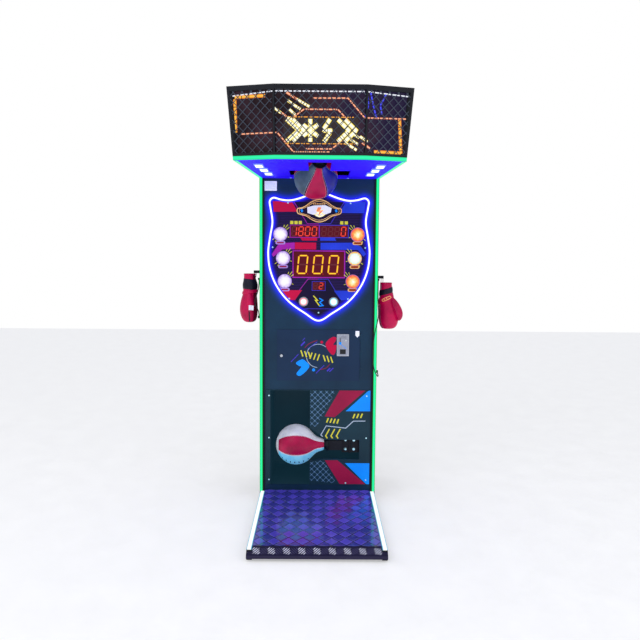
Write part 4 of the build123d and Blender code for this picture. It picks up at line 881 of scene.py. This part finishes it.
soffit = {"pill": (50, 18), "pillDepth": (1861.0, 1862.0), "rows": (-500, -357, -214), "taper": 0.085,
          "edge": ((388, -648), (330, -22)), "edgeWidth": 15.0, "edgeDepth": (1865.2, 1866.0)}
layFlat = lambda points: points[:, [0, 2, 1]]  # an x, z outline turned to lie under the canopy
modules = [(side * (300 - (y + 560) * soffit["taper"]), y) for y in soffit["rows"] for side in (-1, 1)]
makePiece("soffitPills", [flatShape(pill(0, 0, *soffit["pill"])[:, ::-1] + place, *soffit["pillDepth"])
                          for place in modules], ledModule, "cabinet", move=layFlat)
makePiece("canopyUnderStrips", [flatLine([(side * x, y) for x, y in soffit["edge"]], soffit["edgeWidth"],
                                         *soffit["edgeDepth"]) for side in (-1, 1)],
          underGlow, "cabinet", move=layFlat)
print("stage: shield, lamps, digits and soffit")

# coin door print

doorInk = {
    "doorRed": (inkRed, [throughPoints([(42, 926), (79, 967), (106, 960), (87, 924), (106, 919), (95, 871),
                                        (73, 871)], 70, closed=True), discPoints(20, 938, 8, 20)], []),
    "doorSky": (inkSky, [throughPoints([(-128, 816), (-97, 836), (-78, 831), (-51, 795), (-99, 743),
                                        (-125, 753), (-97, 792), (-111, 799)], 80, closed=True),
                         discPoints(-26, 776, 9, 20)], []),
    "doorViolet": (inkViolet, [], [([(-157, 822), (-114, 867)], 4.0, False),
                                   ([(-59, 899), (-6, 940)], 4.0, False),
                                   ([(-12, 756), (35, 803)], 4.0, False),
                                   ([(-100, 916), (-78, 940)], 8.0, False),
                                   ([(-92, 946), (-76, 962)], 3.0, False),
                                   ([(52, 769), (70, 787)], 8.0, False),
                                   ([(66, 766), (88, 788)], 6.0, False)]),
    "doorMagenta": (inkWine, [], [(throughPoints([(-78, 905), (-50, 930), (-6, 948)], 14), 3.0, False),
                                  (throughPoints([(14, 778), (46, 788), (70, 812)], 14), 3.0, False)]),
}
turn = np.radians(np.linspace(50, 175, 30))
upperArc = np.column_stack([68 * np.cos(turn), 858 + 68 * np.sin(turn)])
turn = np.radians(np.linspace(190, 265, 24))
lowerArc = np.column_stack([68 * np.cos(turn), 858 + 68 * np.sin(turn)])
doorInk["doorGrey"] = (inkGrey, [], [(upperArc, 3.4, False), (lowerArc, 3.4, False)])
slashes = {"count": 9, "start": (-100, 890), "step": (21.5, -4.5), "run": (12.0, -36.0)}
brushMarks = []
for k in range(slashes["count"]):  # three slashes lean one way, the next three the other
    x, z = (start + k * step for start, step in zip(slashes["start"], slashes["step"]))
    brushMarks.append([(x, z), (x + slashes["run"][0] * (-1) ** (k // 3), z + slashes["run"][1])])
doorInk["doorBrush"] = (inkYellow, [], [(mark, 7.0, False) for mark in brushMarks])
for name, (ink, fills, lines) in doorInk.items():
    front = -3.9 if name == "doorBrush" else -3.5
    shapes = [flatShape(fill, front, -3.0) for fill in fills]
    shapes += [flatLine(points, width, front, -3.0, closed) for points, width, closed in lines]
    makePiece(name, shapes, ink, "coin_door")
makePiece("coinPlateScrews", [flatShape(discPoints(x, z, 3.0, 16), -10.2, -9.0) for x in (114, 170)
                              for z in (865, 979)], chromePlate, "coin_door")
makePiece("coinPlateLight", [flatShape(box4(119, 133, 925, 940), -9.6, -9.0),
                             flatLine([(133, 925), (162, 902)], 2.4, -9.5, -9.0)], inkSky, "coin_door")
makePiece("coinPlateRibs", [flatLine([(x, 960), (x, 975)], 1.2, -9.6, -9.0) for x in (134, 140, 146, 152,
                                                                                      158)],
          mouldedAbs, "coin_door")
makePiece("coinPlateFrame", [flatLine(box4(110.5, 173.5, 861.5, 982.5), 1.6, -9.5, -9.0, True)], chromePlate,
          "coin_door")
makePiece("doorTab", [flatShape([(214, 1004), (236, 1004), (236, 978), (225, 966), (214, 978)], -4.0, -3.0)],
          inkWhite, "coin_door")
makePiece("labelPlate", [flatShape(box4(-309, -240, 1797, 1850), -0.8, 0.0)], inkWhite, "cabinet")
makePiece("labelLines", [flatLine([(-304, z), (x, z)], 1.6, -1.1, 0.0)
                         for z, x in ((1843, -262), (1836, -247), (1829, -252), (1822, -246), (1815, -270),
                                      (1808, -250))], inkGrey, "cabinet")

# kick panel print

artInk = {
    "artWine": (inkWine, [[(126, 656), (276, 656), (98, 497), (40, 503)], [(43, 240), (118, 240), (283, 97),
                                                                         (132, 97)]], []),
    "artSky": (inkSky, [[(288, 650), (296, 656), (305, 656), (305, 534), (163, 534)],
                        [(162, 223), (305, 223), (305, 97), (288, 97)]], []),
    "artGrey": (inkGrey, [], [([(30, 382), (19, 392), (50, 446), (164, 433), (208, 475), (278, 476)], 5.0,
                               False)]),
    "artYellow": (inkYellow, [], [([(x + 22, 428), (x, 386), (x + 10, 372)], 7.0, False) for x in (47, 78,
                                                                                                   110)]
                  + [([(x, z), (x + 10, z + 26)], 8.0, False) for x,
                     z in ((52, 466), (72, 464), (92, 462), (112, 460))]
                  + [([(x, z), (x + 10, z + 26)], 8.0, False) for x,
                     z in ((206, 492), (228, 493), (250, 494))]),
}
for name, (ink, fills, lines) in artInk.items():
    shapes = [flatShape(fill, -4.6, -4.0) for fill in fills]
    shapes += [flatLine(points, width, -4.7, -4.0, closed) for points, width, closed in lines]
    makePiece(name, shapes, ink, "cabinet")
makePiece("artLattice", [flatShape([(-44, 654), (104, 654), (24, 500), (-6, 442), (-44, 440)], -4.3, -4.0),
                         flatShape([(-44, 228), (36, 240), (112, 100), (-44, 118)], -4.3, -4.0)],
          latticeFilm, "cabinet")
print("stage: coin door and kick panel")

# marquee: lit runs on the screen behind the mesh

head = {"reach": 715.0, "lean": 70.0, "knee": 207.0, "slope": 50 / 193, "low": 1866.0, "high": 2178.5,
        "drift": 0.033}


def onCanopy(points):
    # x, depth, z to the head's face: the centre facet leans forward with height, the side facets turn back
    x, depth, z = points.T
    t = (z - head["low"]) / (head["high"] - head["low"])
    turned = np.maximum(0.0, head["slope"] * (np.abs(x) - head["knee"]) + head["drift"] * depth)
    return np.column_stack([x, -head["reach"] - head["lean"] * t + turned + depth, z])


def litRuns(runs, width, dash, gap):
    shapes = []
    for run in runs:
        shapes += [flatLine(piece, width, 12.8, 13.7) for piece in dashed(run, dash, gap)]
    return shapes


marquee = {
    "marqueeAmber": (ledAmber, litRuns([[(-384, 2135), (-245, 2135)], [(-384, 2126), (-384, 1987)],
                                        [(359, 2045), (372, 1901)], [(372, 1903), (246, 1903)]], 15.0, 30,
                                        3.5)),
    "marqueeOrange": (ledOrange, litRuns([[(-357, 1979), (-192, 1980), (-120, 1898), (45, 1899)],
                                          [(-33, 2124), (122, 2125), (199, 2044), (390, 2050)],
                                          [(-120, 2044), (-73, 2078), (78, 2078), (128, 2030)],
                                          [(-64, 1912), (52, 1912), (104, 1950)]], 6.5, 17, 4)),
    "marqueeStreaks": (ledYellow, litRuns([[(-104, 2119), (-49, 2089)], [(-146, 2114), (-125, 2101)],
                                           [(-122, 2098), (-88, 2078)], [(-138, 2078), (-112, 2055)],
                                           [(-204, 2083), (-175, 2062)], [(-146, 2044), (-112, 2030)],
                                           [(112, 1940), (166, 1908)], [(138, 1952), (172, 1932)],
                                           [(180, 1966), (214, 1944)], [(150, 1976), (176, 1960)]], 12.0, 22,
                                           3)),
    "marqueeStreaksRed": (ledOrange, litRuns([[(-151, 2147), (-104, 2119)], [(-172, 2062), (-151, 2047)],
                                              [(190, 1940), (226, 1916)]], 10.0, 20, 3)),
    "marqueeViolet": (ledViolet, litRuns([[(205, 2152), (214, 2100), (200, 2040)], [(222, 2152), (236, 2096),
                                          (252, 2046)], [(292, 2146), (268, 2100), (276, 2060)]], 8.0, 14,
                                          5)),
}
edgeRun = [(-398, 2140), (-207, 2152), (207, 2152), (398, 2144)]
marquee["marqueeEdgeLine"] = (ledWhite, [flatLine(piece, 5.0, 12.8, 13.7) for piece in dashed(edgeRun, 33, 7)]
                              + [flatLine(piece, 4.0, 12.8, 13.7)
                                 for piece in dashed([(-399, 2132), (-392, 1905)], 26, 8)])
# four generic marks stand where the lettering was: arrow, burst, bolt and arrow
marks = [[(-150, 2036), (-96, 1990), (-150, 1944)], [(-122, 2036), (-72, 1990), (-122, 1944)],
         [(-44, 2038), (-44, 1942)], [(-78, 2014), (-10, 1966)], [(-78, 1966), (-10, 2014)],
         [(44, 2038), (12, 1990), (50, 1990), (18, 1942)], [(80, 2036), (130, 1990), (80, 1944)],
         [(112, 2036), (162, 1990), (112, 1944)], [(-158, 1934), (166, 1934)], [(-146, 2046), (150, 2046)]]
marquee["marqueeMarks"] = (ledYellow, litRuns(marks[:8], 20.0, 24, 2.5))
marquee["marqueeMarkLines"] = (ledAmber, litRuns(marks[8:], 4.0, 18, 6))
for name, (ink, shapes) in marquee.items():
    makePiece(name, shapes, ink, "cabinet", move=onCanopy)
wires = {"pitch": 41.0, "width": 3.2, "low": 1896.0, "high": 2157.0, "inner": (-201.0, 201.0),
         "outer": (216.0, 388.0)}


def meshWires():
    # a diamond net: x plus or minus z steps by the pitch, each line kept where it lies inside its facet
    z = np.linspace(wires["low"], wires["high"], 240)
    widen = 19 * (z - head["low"]) / (head["high"] - head["low"])
    facets = [(wires["inner"][0] + 0 * z, wires["inner"][1] + 0 * z),
              (wires["outer"][0] + 0 * z, wires["outer"][1] + widen),
              (-wires["outer"][1] - widen, -wires["outer"][0] + 0 * z)]
    shapes = []
    for way in (1, -1):
        for k in range(-80, 81):
            x = k * wires["pitch"] + way * z
            for low, high in facets:
                inside = np.flatnonzero((x > low) & (x < high))
                if len(inside) > 6:
                    ends = inside[[0, -1]]
                    shapes.append(flatLine(np.column_stack([x[ends], z[ends]]), wires["width"],
                                           3.0 + way * 0.6, 4.6 + way * 0.6))
    return shapes


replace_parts(makePiece("marqueeWires", meshWires(), wireCoatPaintedGlow, "cabinet", move=onCanopy,
                      weld=False),
            "marquee_mesh")
# painted glow: the marks' warm light spilling onto the screen round them
makePiece("marqueeWarmGlowPainted", [flatShape(box4(-165, 172, 1935, 2045), 13.2, 13.9)], warmHalo, "cabinet",
          move=onCanopy)
print("stage: marquee")

# balls: six leather gores, piping on every seam, a cap on the pole

ball = {"radius": 118.0, "neck": 30.0, "reach": 164.0, "gores": 6, "seamDepth": 1.6, "seamWidth": 0.05,
        "sag": 12.0, "puff": 1.3}
kickSeat = {"centre": (-126, 22, 328), "roll": 12}
punchSeat = {"pivot": (-565, 1975), "collar": 211, "centre": 400, "tilt": 18, "lean": 6}


def pearProfile(count):
    # the outline of the ball: an arc from the far pole to where the neck's cone touches it, then the cone,
    # drawn in at its middle by a squared sine
    touch = math.atan2(ball["neck"], ball["reach"]) + math.acos(ball["radius"] / math.hypot(ball["reach"],
                                                                                           ball["neck"]))
    angle = np.linspace(math.pi, touch, count)
    arcPart = np.column_stack([-ball["radius"] * np.cos(angle), ball["radius"] * np.sin(angle)])
    blend = np.linspace(0, 1, count // 2 + 1)[1:, None]
    end = np.array([-ball["reach"], ball["neck"]])
    cone = arcPart[-1] + (end - arcPart[-1]) * blend
    cone[:, 1] -= ball["sag"] * np.sin(np.pi * blend[:, 0]) ** 2
    return np.vstack([arcPart, cone])


def ballPoints(profile, turn, lift=0.0):
    # along the axis and round it; near a seam the skin dips by a bell curve, and lift is added outward
    reach, radius = profile[:, None, 0], profile[:, None, 1]
    period = 2 * np.pi / ball["gores"]
    off = (turn[None] - period / 2) % period
    off = np.minimum(off, period - off)
    dip = ball["seamDepth"] * np.exp(-(off / ball["seamWidth"]) ** 2)
    puff = ball["puff"] * np.cos(off / period * np.pi) ** 2
    r = np.maximum(radius - (dip + puff) * np.minimum(1, radius / 40) + lift, 0.0)
    return np.stack([np.broadcast_to(reach, r.shape), r * np.cos(turn[None]), r * np.sin(turn[None])],
                    axis=-1)


def makeBall(name, node, body, skins, place, laces):
    # place turns (along axis away from the neck, front, up) into the machine's x, y, z
    profile = pearProfile(64)
    turn = np.linspace(0, 2 * np.pi, 144, endpoint=False)
    grid = ballPoints(profile, turn)
    rows = len(profile)
    faces = gridFaces(rows, 144, closeColumns=True).tolist()
    gore = (np.round((np.arange(144) + 0.5) / 24).astype(int)) % 6
    skin = np.tile(np.array([skins["gores"][g] for g in gore]), rows - 1)
    capped = np.repeat(profile[:-1, 1] < skins["capRadius"], 144) & np.repeat(profile[:-1, 0] > 0, 144)
    skin = np.where(capped, skins["cap"], skin)
    faces.append(list(range((rows - 1) * 144, rows * 144)))
    pick = np.append(skin, skins["cap"])
    piece = makePiece(name, [(grid.reshape(-1, 3), faces)], skins["set"], body, move=place, smooth=True,
                      pick=pick)
    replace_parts(piece, node)
    seams = []
    start = int(np.argmax(profile[:, 1] > skins["capRadius"]))
    for k in range(6):
        angle = np.array([np.pi / 6 + k * np.pi / 3])
        path = ballPoints(profile[start:-2:2], angle, 0.6)[:, 0]
        outward = unit(path * (0.35, 1, 1))
        round8 = np.linspace(0, 2 * np.pi, 8, endpoint=False)
        seams.append(carried(path, np.column_stack([1.9 * np.cos(round8), 1.5 * np.sin(round8)]),
                             outward)[:2])
    makePiece(name + "Piping", seams, skins["piping"], body, move=place, smooth=True)
    ties = []
    for reach in laces["reach"]:
        row = np.array([[reach, math.sqrt(ball["radius"] ** 2 - reach ** 2)]])
        across = ballPoints(row, np.radians(np.linspace(laces["turn"] - 3.6, laces["turn"] + 3.6, 7)), 0.8)[0]
        round6 = np.linspace(0, 2 * np.pi, 6, endpoint=False)
        ties.append(carried(across, np.column_stack([2.6 * np.cos(round6), 1.6 * np.sin(round6)]),
                            unit(across * (0, 1, 1)))[:2])
    makePiece(name + "Laces", ties, gloveBlack, body, move=place, smooth=True)
    stitch = []
    for k in range(6):
        for shift in (-0.045, 0.045):
            angle = np.array([np.pi / 6 + k * np.pi / 3 + shift])
            path = ballPoints(profile[start + 2:-2], angle, 0.25)[:, 0]
            for run in dashed(path, 3.2, 3.4):
                stitch.append(carried(run, [(-0.5, -0.2), (0.5, -0.2), (0.5, 0.3), (-0.5, 0.3)],
                                      unit(run * (0, 1, 1)))[:2])
    makePiece(name + "Stitches", stitch, whiteLeather, body, move=place, weld=False)


def kickPlace(points):  # the neck points to +X, so the far pole is at -X; front is -Y
    x, y, z = kickSeat["centre"]
    roll = math.radians(kickSeat["roll"])
    front = points[:, 1] * math.cos(roll) - points[:, 2] * math.sin(roll)
    up = points[:, 1] * math.sin(roll) + points[:, 2] * math.cos(roll)
    return np.column_stack([x - points[:, 0], y - front, z + up])


def punchPlace(points):
    # along the arm, leaning aside from the collar on, then tilted down about the pivot
    tilt, lean = math.radians(punchSeat["tilt"]), math.radians(punchSeat["lean"])
    front, up, out = points[:, 1], points[:, 2], punchSeat["centre"] - punchSeat["collar"] + points[:, 0]
    local = np.column_stack([up * math.cos(lean) - out * math.sin(lean),
                             punchSeat["collar"] + up * math.sin(lean) + out * math.cos(lean), front])
    y = local[:, 1] * math.cos(tilt) - local[:, 2] * math.sin(tilt)
    z = -local[:, 1] * math.sin(tilt) - local[:, 2] * math.cos(tilt)
    return np.column_stack([local[:, 0], punchSeat["pivot"][0] + y, punchSeat["pivot"][1] + z])


# the sixth gore is white leather with the strips' cyan light painted on
makeBall("kickBallLeather", "kick_ball", "kick",
         {"set": [crimsonLeather, whiteLeather, cyanLitWhiteLeather], "gores": [0, 1, 1, 0, 1, 2], "cap": 1,
          "capRadius": 60.0, "piping": whiteLeather}, kickPlace,
         {"turn": -57, "reach": (78, 55, 30, 5, -20, -45, -72)})
makeBall("punchBallLeather", "punch_ball", "punch",
         {"set": [crimsonLeather, slateLeather, navyLeather], "gores": [0, 2, 0, 0, 0, 1], "cap": 0,
          "capRadius": 26.0, "piping": gloveBlack}, punchPlace, {"turn": 120, "reach": (52, 26, 0, -26)})
print("stage: balls")

# kick arm: torsion spring and bright bolts

spring = {"x": 188.5, "y": 22.0, "z": (379.0, 401.0), "radius": 8.2, "wire": 1.15, "turns": 6}
s = np.linspace(0, 1, 220)
angle = 2 * np.pi * spring["turns"] * s
helix = np.column_stack([spring["x"] + spring["radius"] * np.cos(angle), spring["y"] + spring["radius"]
                         * np.sin(angle), spring["z"][0] + (spring["z"][1] - spring["z"][0]) * s])
outward = np.column_stack([np.cos(angle), np.sin(angle), np.zeros(220)])
round10 = np.linspace(0, 2 * np.pi, 10, endpoint=False)
coil = makePiece("springCoil", [carried(helix, spring["wire"] * np.column_stack([np.cos(round10),
                                                                                 np.sin(round10)]),
                                        outward)[:2]], brushedSteel, "cabinet", smooth=True)
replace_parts(coil, "kick_spring")


bolts = {"x": 164, "z": (356, 302), "radius": 8.6, "seat": 16}


def boltDome(x, z):
    # a domed head: height falls with the square of the distance from the centre
    r = np.array([0, 0.3, 0.55, 0.75, 0.9, 1.0, 1.0])[:, None]
    turn = np.linspace(0, 2 * np.pi, 24, endpoint=False)[None]
    height = np.array([7.4, 7.1, 6.4, 5.2, 3.6, 2.0, -5.0])[:, None]
    out = bolts["radius"] * r
    points = np.stack([x + out * np.cos(turn), np.broadcast_to(bolts["seat"] - height, (7, 24)),
                       z + out * np.sin(turn)], axis=-1)
    faces = gridFaces(7, 24, closeColumns=True).tolist() + [list(range(6 * 24, 7 * 24))]
    return points.reshape(-1, 3), faces


makePiece("armBoltCaps", [boltDome(bolts["x"], z) for z in bolts["z"]], nickelPlatePaintedReflection, "kick",
          smooth=True)

# gloves: padded leather shells lofted from section to section

gloveDepth = 100  # how far the gloves hang behind the front panel's face
gloves = {
    "right": {"rows": [(1277, 396, 34, 35), (1262, 396, 34.5, 36), (1240, 397, 36, 37), (1215, 397, 38, 40),
                       (1190, 399, 41, 43), (1160, 404, 48, 46), (1120, 410, 55, 50), (1085, 413, 58, 51),
                       (1050, 414, 56, 48), (1026, 413, 49, 40), (1012, 411, 36, 29), (1008, 410, 20, 16)],
              "thumb": [((424, 74, 1196), 8), ((434, 66, 1176), 17), ((449, 62, 1150), 22),
                        ((463, 62, 1120), 24.5), ((470, 64, 1094), 23.5), ((470, 68, 1072), 17),
                        ((468, 71, 1060), 7)],
              "band": (1246, 1214, 11), "strap": (1207, 1168, 16), "sign": 1},
    "left": {"rows": [(1324, 404, 34, 38), (1308, 404, 34, 39), (1285, 403, 36, 41), (1262, 402, 41, 43),
                      (1230, 403, 40, 44), (1205, 405, 41, 46), (1175, 408, 47, 50), (1140, 410, 52, 53),
                      (1100, 410, 52, 52), (1072, 408, 46, 46), (1050, 406, 34, 34), (1042, 405, 18, 18)],
             "thumb": [((402, 62, 1222), 8), ((402, 57, 1204), 15), ((400, 55, 1176), 19),
                       ((396, 55, 1146), 20), ((394, 57, 1118), 18), ((394, 62, 1098), 7)],
             "band": (1296, 1236, -4), "strap": (1230, 1212, 6), "sign": -1},
}


def gloveSkin(settings, z, turn, lift=0.0):
    # the shell at a height and an angle: an oval whose middle and half widths come from the sections, with
    # its palm side flattened, and broad soft quilts across the fist; lift moves outward
    rows = throughPoints(settings["rows"], 400)[::-1]
    cx, rx, ry = (np.interp(z, rows[:, 0], rows[:, k]) for k in (1, 2, 3))
    fist = np.clip((1190 - z) / 60, 0, 1)
    quilt = 0.9 * fist * np.abs(np.sin((z - 1000) / 19.0))
    squash = 1 - 0.10 * fist * np.clip(np.sin(turn), 0, 1)
    x = cx + (rx + lift - quilt) * np.sign(np.cos(turn)) * np.abs(np.cos(turn)) ** 0.92
    y = gloveDepth + (ry * squash + lift - quilt) * np.sign(np.sin(turn)) * np.abs(np.sin(turn)) ** 0.92
    return np.stack([settings["sign"] * x, y, z + 0 * x], axis=-1)


def makeGlove(side, settings):
    turn = np.linspace(0, 2 * np.pi, 72, endpoint=False)[None]
    top, low = settings["rows"][0][0], settings["rows"][-1][0]
    z = np.linspace(top, low, 90)[:, None]
    skin = gloveSkin(settings, z, turn)
    lip = gloveSkin(settings, np.full((1, 1), top), turn, -2.5) + (0, 0, 2.2)
    inner = gloveSkin(settings, np.array([[top - 4.0], [top - 30.0], [top - 42.0]]), turn, -6.5)
    points = np.concatenate([inner[::-1], lip, skin])
    rows = len(points)
    faces = gridFaces(rows, 72, closeColumns=True).tolist()
    faces += [list(range(72)), list(range((rows - 1) * 72, rows * 72))]
    centre = (turn.ravel() + np.pi / 72) % (2 * np.pi)
    palm = (np.abs(centre - (np.pi / 2)) < 0.9) if side == "right" else (np.abs(centre - np.pi) < 1.0)
    pick = np.tile(np.where(palm, 1, 0), rows - 1)
    pick[:3 * 72] = 1
    # painted highlight: a band down the left glove's outer side, between two heights, gets the salmon leather
    if side == "left":
        glint = np.abs(centre - 0.1) < 0.34
        level = np.repeat(np.linspace(top, low, 90), 72)
        edge = np.tile(glint, 90) & (level < 1215) & (level > 1090)
        pick[-len(level) + 72:] = np.where(edge[:-72], 2, pick[-len(level) + 72:])
    pick = np.append(pick, [1, 0])
    shell = makePiece(f"gloveShell_{side}", [(points.reshape(-1, 3), faces)],
                      [gloveLeather, gloveDark, gloveGlint], f"{side}_glove", smooth=True,
                      pick=pick)
    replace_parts(shell, f"glove_{side}")

    path = throughPoints([(*place, radius) for place, radius in settings["thumb"]], 40)
    path[:, 0] *= settings["sign"]
    round24 = np.linspace(0, 2 * np.pi, 28, endpoint=False)
    ring = np.column_stack([np.cos(round24), np.sin(round24)])
    thumb = carried(path[:, :3], ring, (0, -1, 0), scale=path[:, 3])
    makePiece(f"gloveThumb_{side}", [thumb[:2]], gloveLeather, f"{side}_glove",
                        smooth=True)

    def wrap(name, high, lowEdge, lean, lift, arc, finish):
        # a band round the shell: its two edges are level lines tilted by lean across the front
        angle = np.linspace(arc[0], arc[1], 80)
        tilt = lean * np.cos(angle) * settings["sign"]
        level = np.linspace(0, 1, 9)[:, None]
        z = high + tilt[None] + (lowEdge - high) * level
        crown = lift * (0.55 + 0.45 * np.sin(np.pi * level))
        outer = gloveSkin(settings, z, angle[None], crown)
        back = gloveSkin(settings, z[::-1], angle[None], -1.0)
        grid = np.concatenate([outer, back]).transpose(1, 0, 2)
        closed = arc[1] - arc[0] > 6.2
        count = len(grid) - (1 if closed else 0)
        faces = gridFaces(count, 18, closed, True).tolist()
        if not closed:
            faces += [list(range(18)), list(range((count - 1) * 18, count * 18))]
        makePiece(f"{name}_{side}", [(grid[:count].reshape(-1, 3), faces)], finish, f"{side}_glove",
                  smooth=True)

    high, lowEdge, lean = settings["band"]
    wrap("gloveBand", high, lowEdge, lean, 3.2, (0, 2 * np.pi), gloveBlack)
    high, lowEdge, lean = settings["strap"]
    wrap("gloveStrap", high, lowEdge, lean, 4.6, (np.pi * 1.02, np.pi * 1.98), gloveLeather)
    rim = gloveSkin(settings, np.full(72, top + 0.6), turn.ravel(), -0.6)
    beads = carried(rim, 2.6 * ring, (0, 0, 1), closed=True)
    makePiece(f"gloveRim_{side}", [beads[:2]], gloveLeather, f"{side}_glove", smooth=True)


for side, settings in gloves.items():
    makeGlove(side, settings)

rightGlove, leftGlove = gloves["right"], gloves["left"]


def onGlove(settings, runs, width, lift):
    # strokes laid on the shell: each point is a height and an angle
    shapes = []
    for run in runs:
        line = throughPoints(run, 24)
        path = gloveSkin(settings, line[:, 0], line[:, 1], lift)
        outward = unit((path - (settings["sign"] * 405, 100, 0)) * (1, 1, 0))
        shapes.append(carried(path, [(-width / 2, -0.8), (width / 2, -0.8), (width / 2, 0.7),
                                     (-width / 2, 0.7)],
                              outward)[:2])
    return shapes


ornament = [[(1178, 4.05), (1190, 4.35), (1204, 5.1)], [(1172, 4.2), (1182, 4.7), (1196, 5.25)],
            [(1178, 4.05), (1172, 4.2)], [(1204, 5.1), (1196, 5.25)], [(1184, 4.3), (1180, 4.45)],
            [(1192, 4.6), (1184, 4.75)]]
makePiece("gloveOrnament", onGlove(rightGlove, ornament, 3.0, 5.6), inkGold, "right_glove")
makePiece("glovePiping", onGlove(rightGlove, [[(1270, 3.7), (1200, 3.66), (1120, 3.6), (1040, 3.7),
                                               (1014, 3.9)]],
                                 3.6, 0.8), slateLeather, "right_glove")
makePiece("gloveSeamLine", onGlove(leftGlove, [[(1236, 4.5), (1180, 4.55), (1110, 4.6), (1060, 4.62),
                                                (1046, 4.65)]], 7.0, 0.9), gloveBlack, "left_glove")
tagPoints = [(-404, 1146), (-376, 1144), (-377, 1116), (-404, 1118)]
makePiece("gloveTag", [flatShape(tagPoints, 33.0, 34.5)], inkWhite, "left_glove")
makePiece("gloveTagMarks", [flatLine([(-398, z), (-383, z)], 2.2, 32.6, 33.2) for z in (1138, 1130, 1122)],
          inkGrey, "left_glove")


hang = {"x": 372, "half": 5.6, "above": 5.4, "inside": 18, "y": 100.0}


def hangLoop(side, settings, hookZ):
    # webbing that goes from the cuff up round the hook's pin and back: a narrow oval in the x, z plane
    sign, top = settings["sign"], settings["rows"][0][0]
    high, low = hookZ + hang["above"], top - hang["inside"]
    middle, half = (high + low) / 2, (high - low) / 2
    turn = np.linspace(0, 2 * np.pi, 60, endpoint=False)
    x = sign * (hang["x"] + hang["half"] * np.sign(np.cos(turn)) * np.abs(np.cos(turn)) ** 0.6)
    path = np.column_stack([x, np.full(60, hang["y"]), middle + half * np.sin(turn)])
    strap = carried(path, [(-0.9, -5.5), (0.9, -5.5), (0.9, 5.5), (-0.9, 5.5)], (0, -1, 0), closed=True)
    makePiece(f"gloveLoop_{side}", [strap[:2]], gloveBlack, f"{side}_glove")


hangLoop("right", rightGlove, 1312)
hangLoop("left", leftGlove, 1338)
print("stage: gloves")
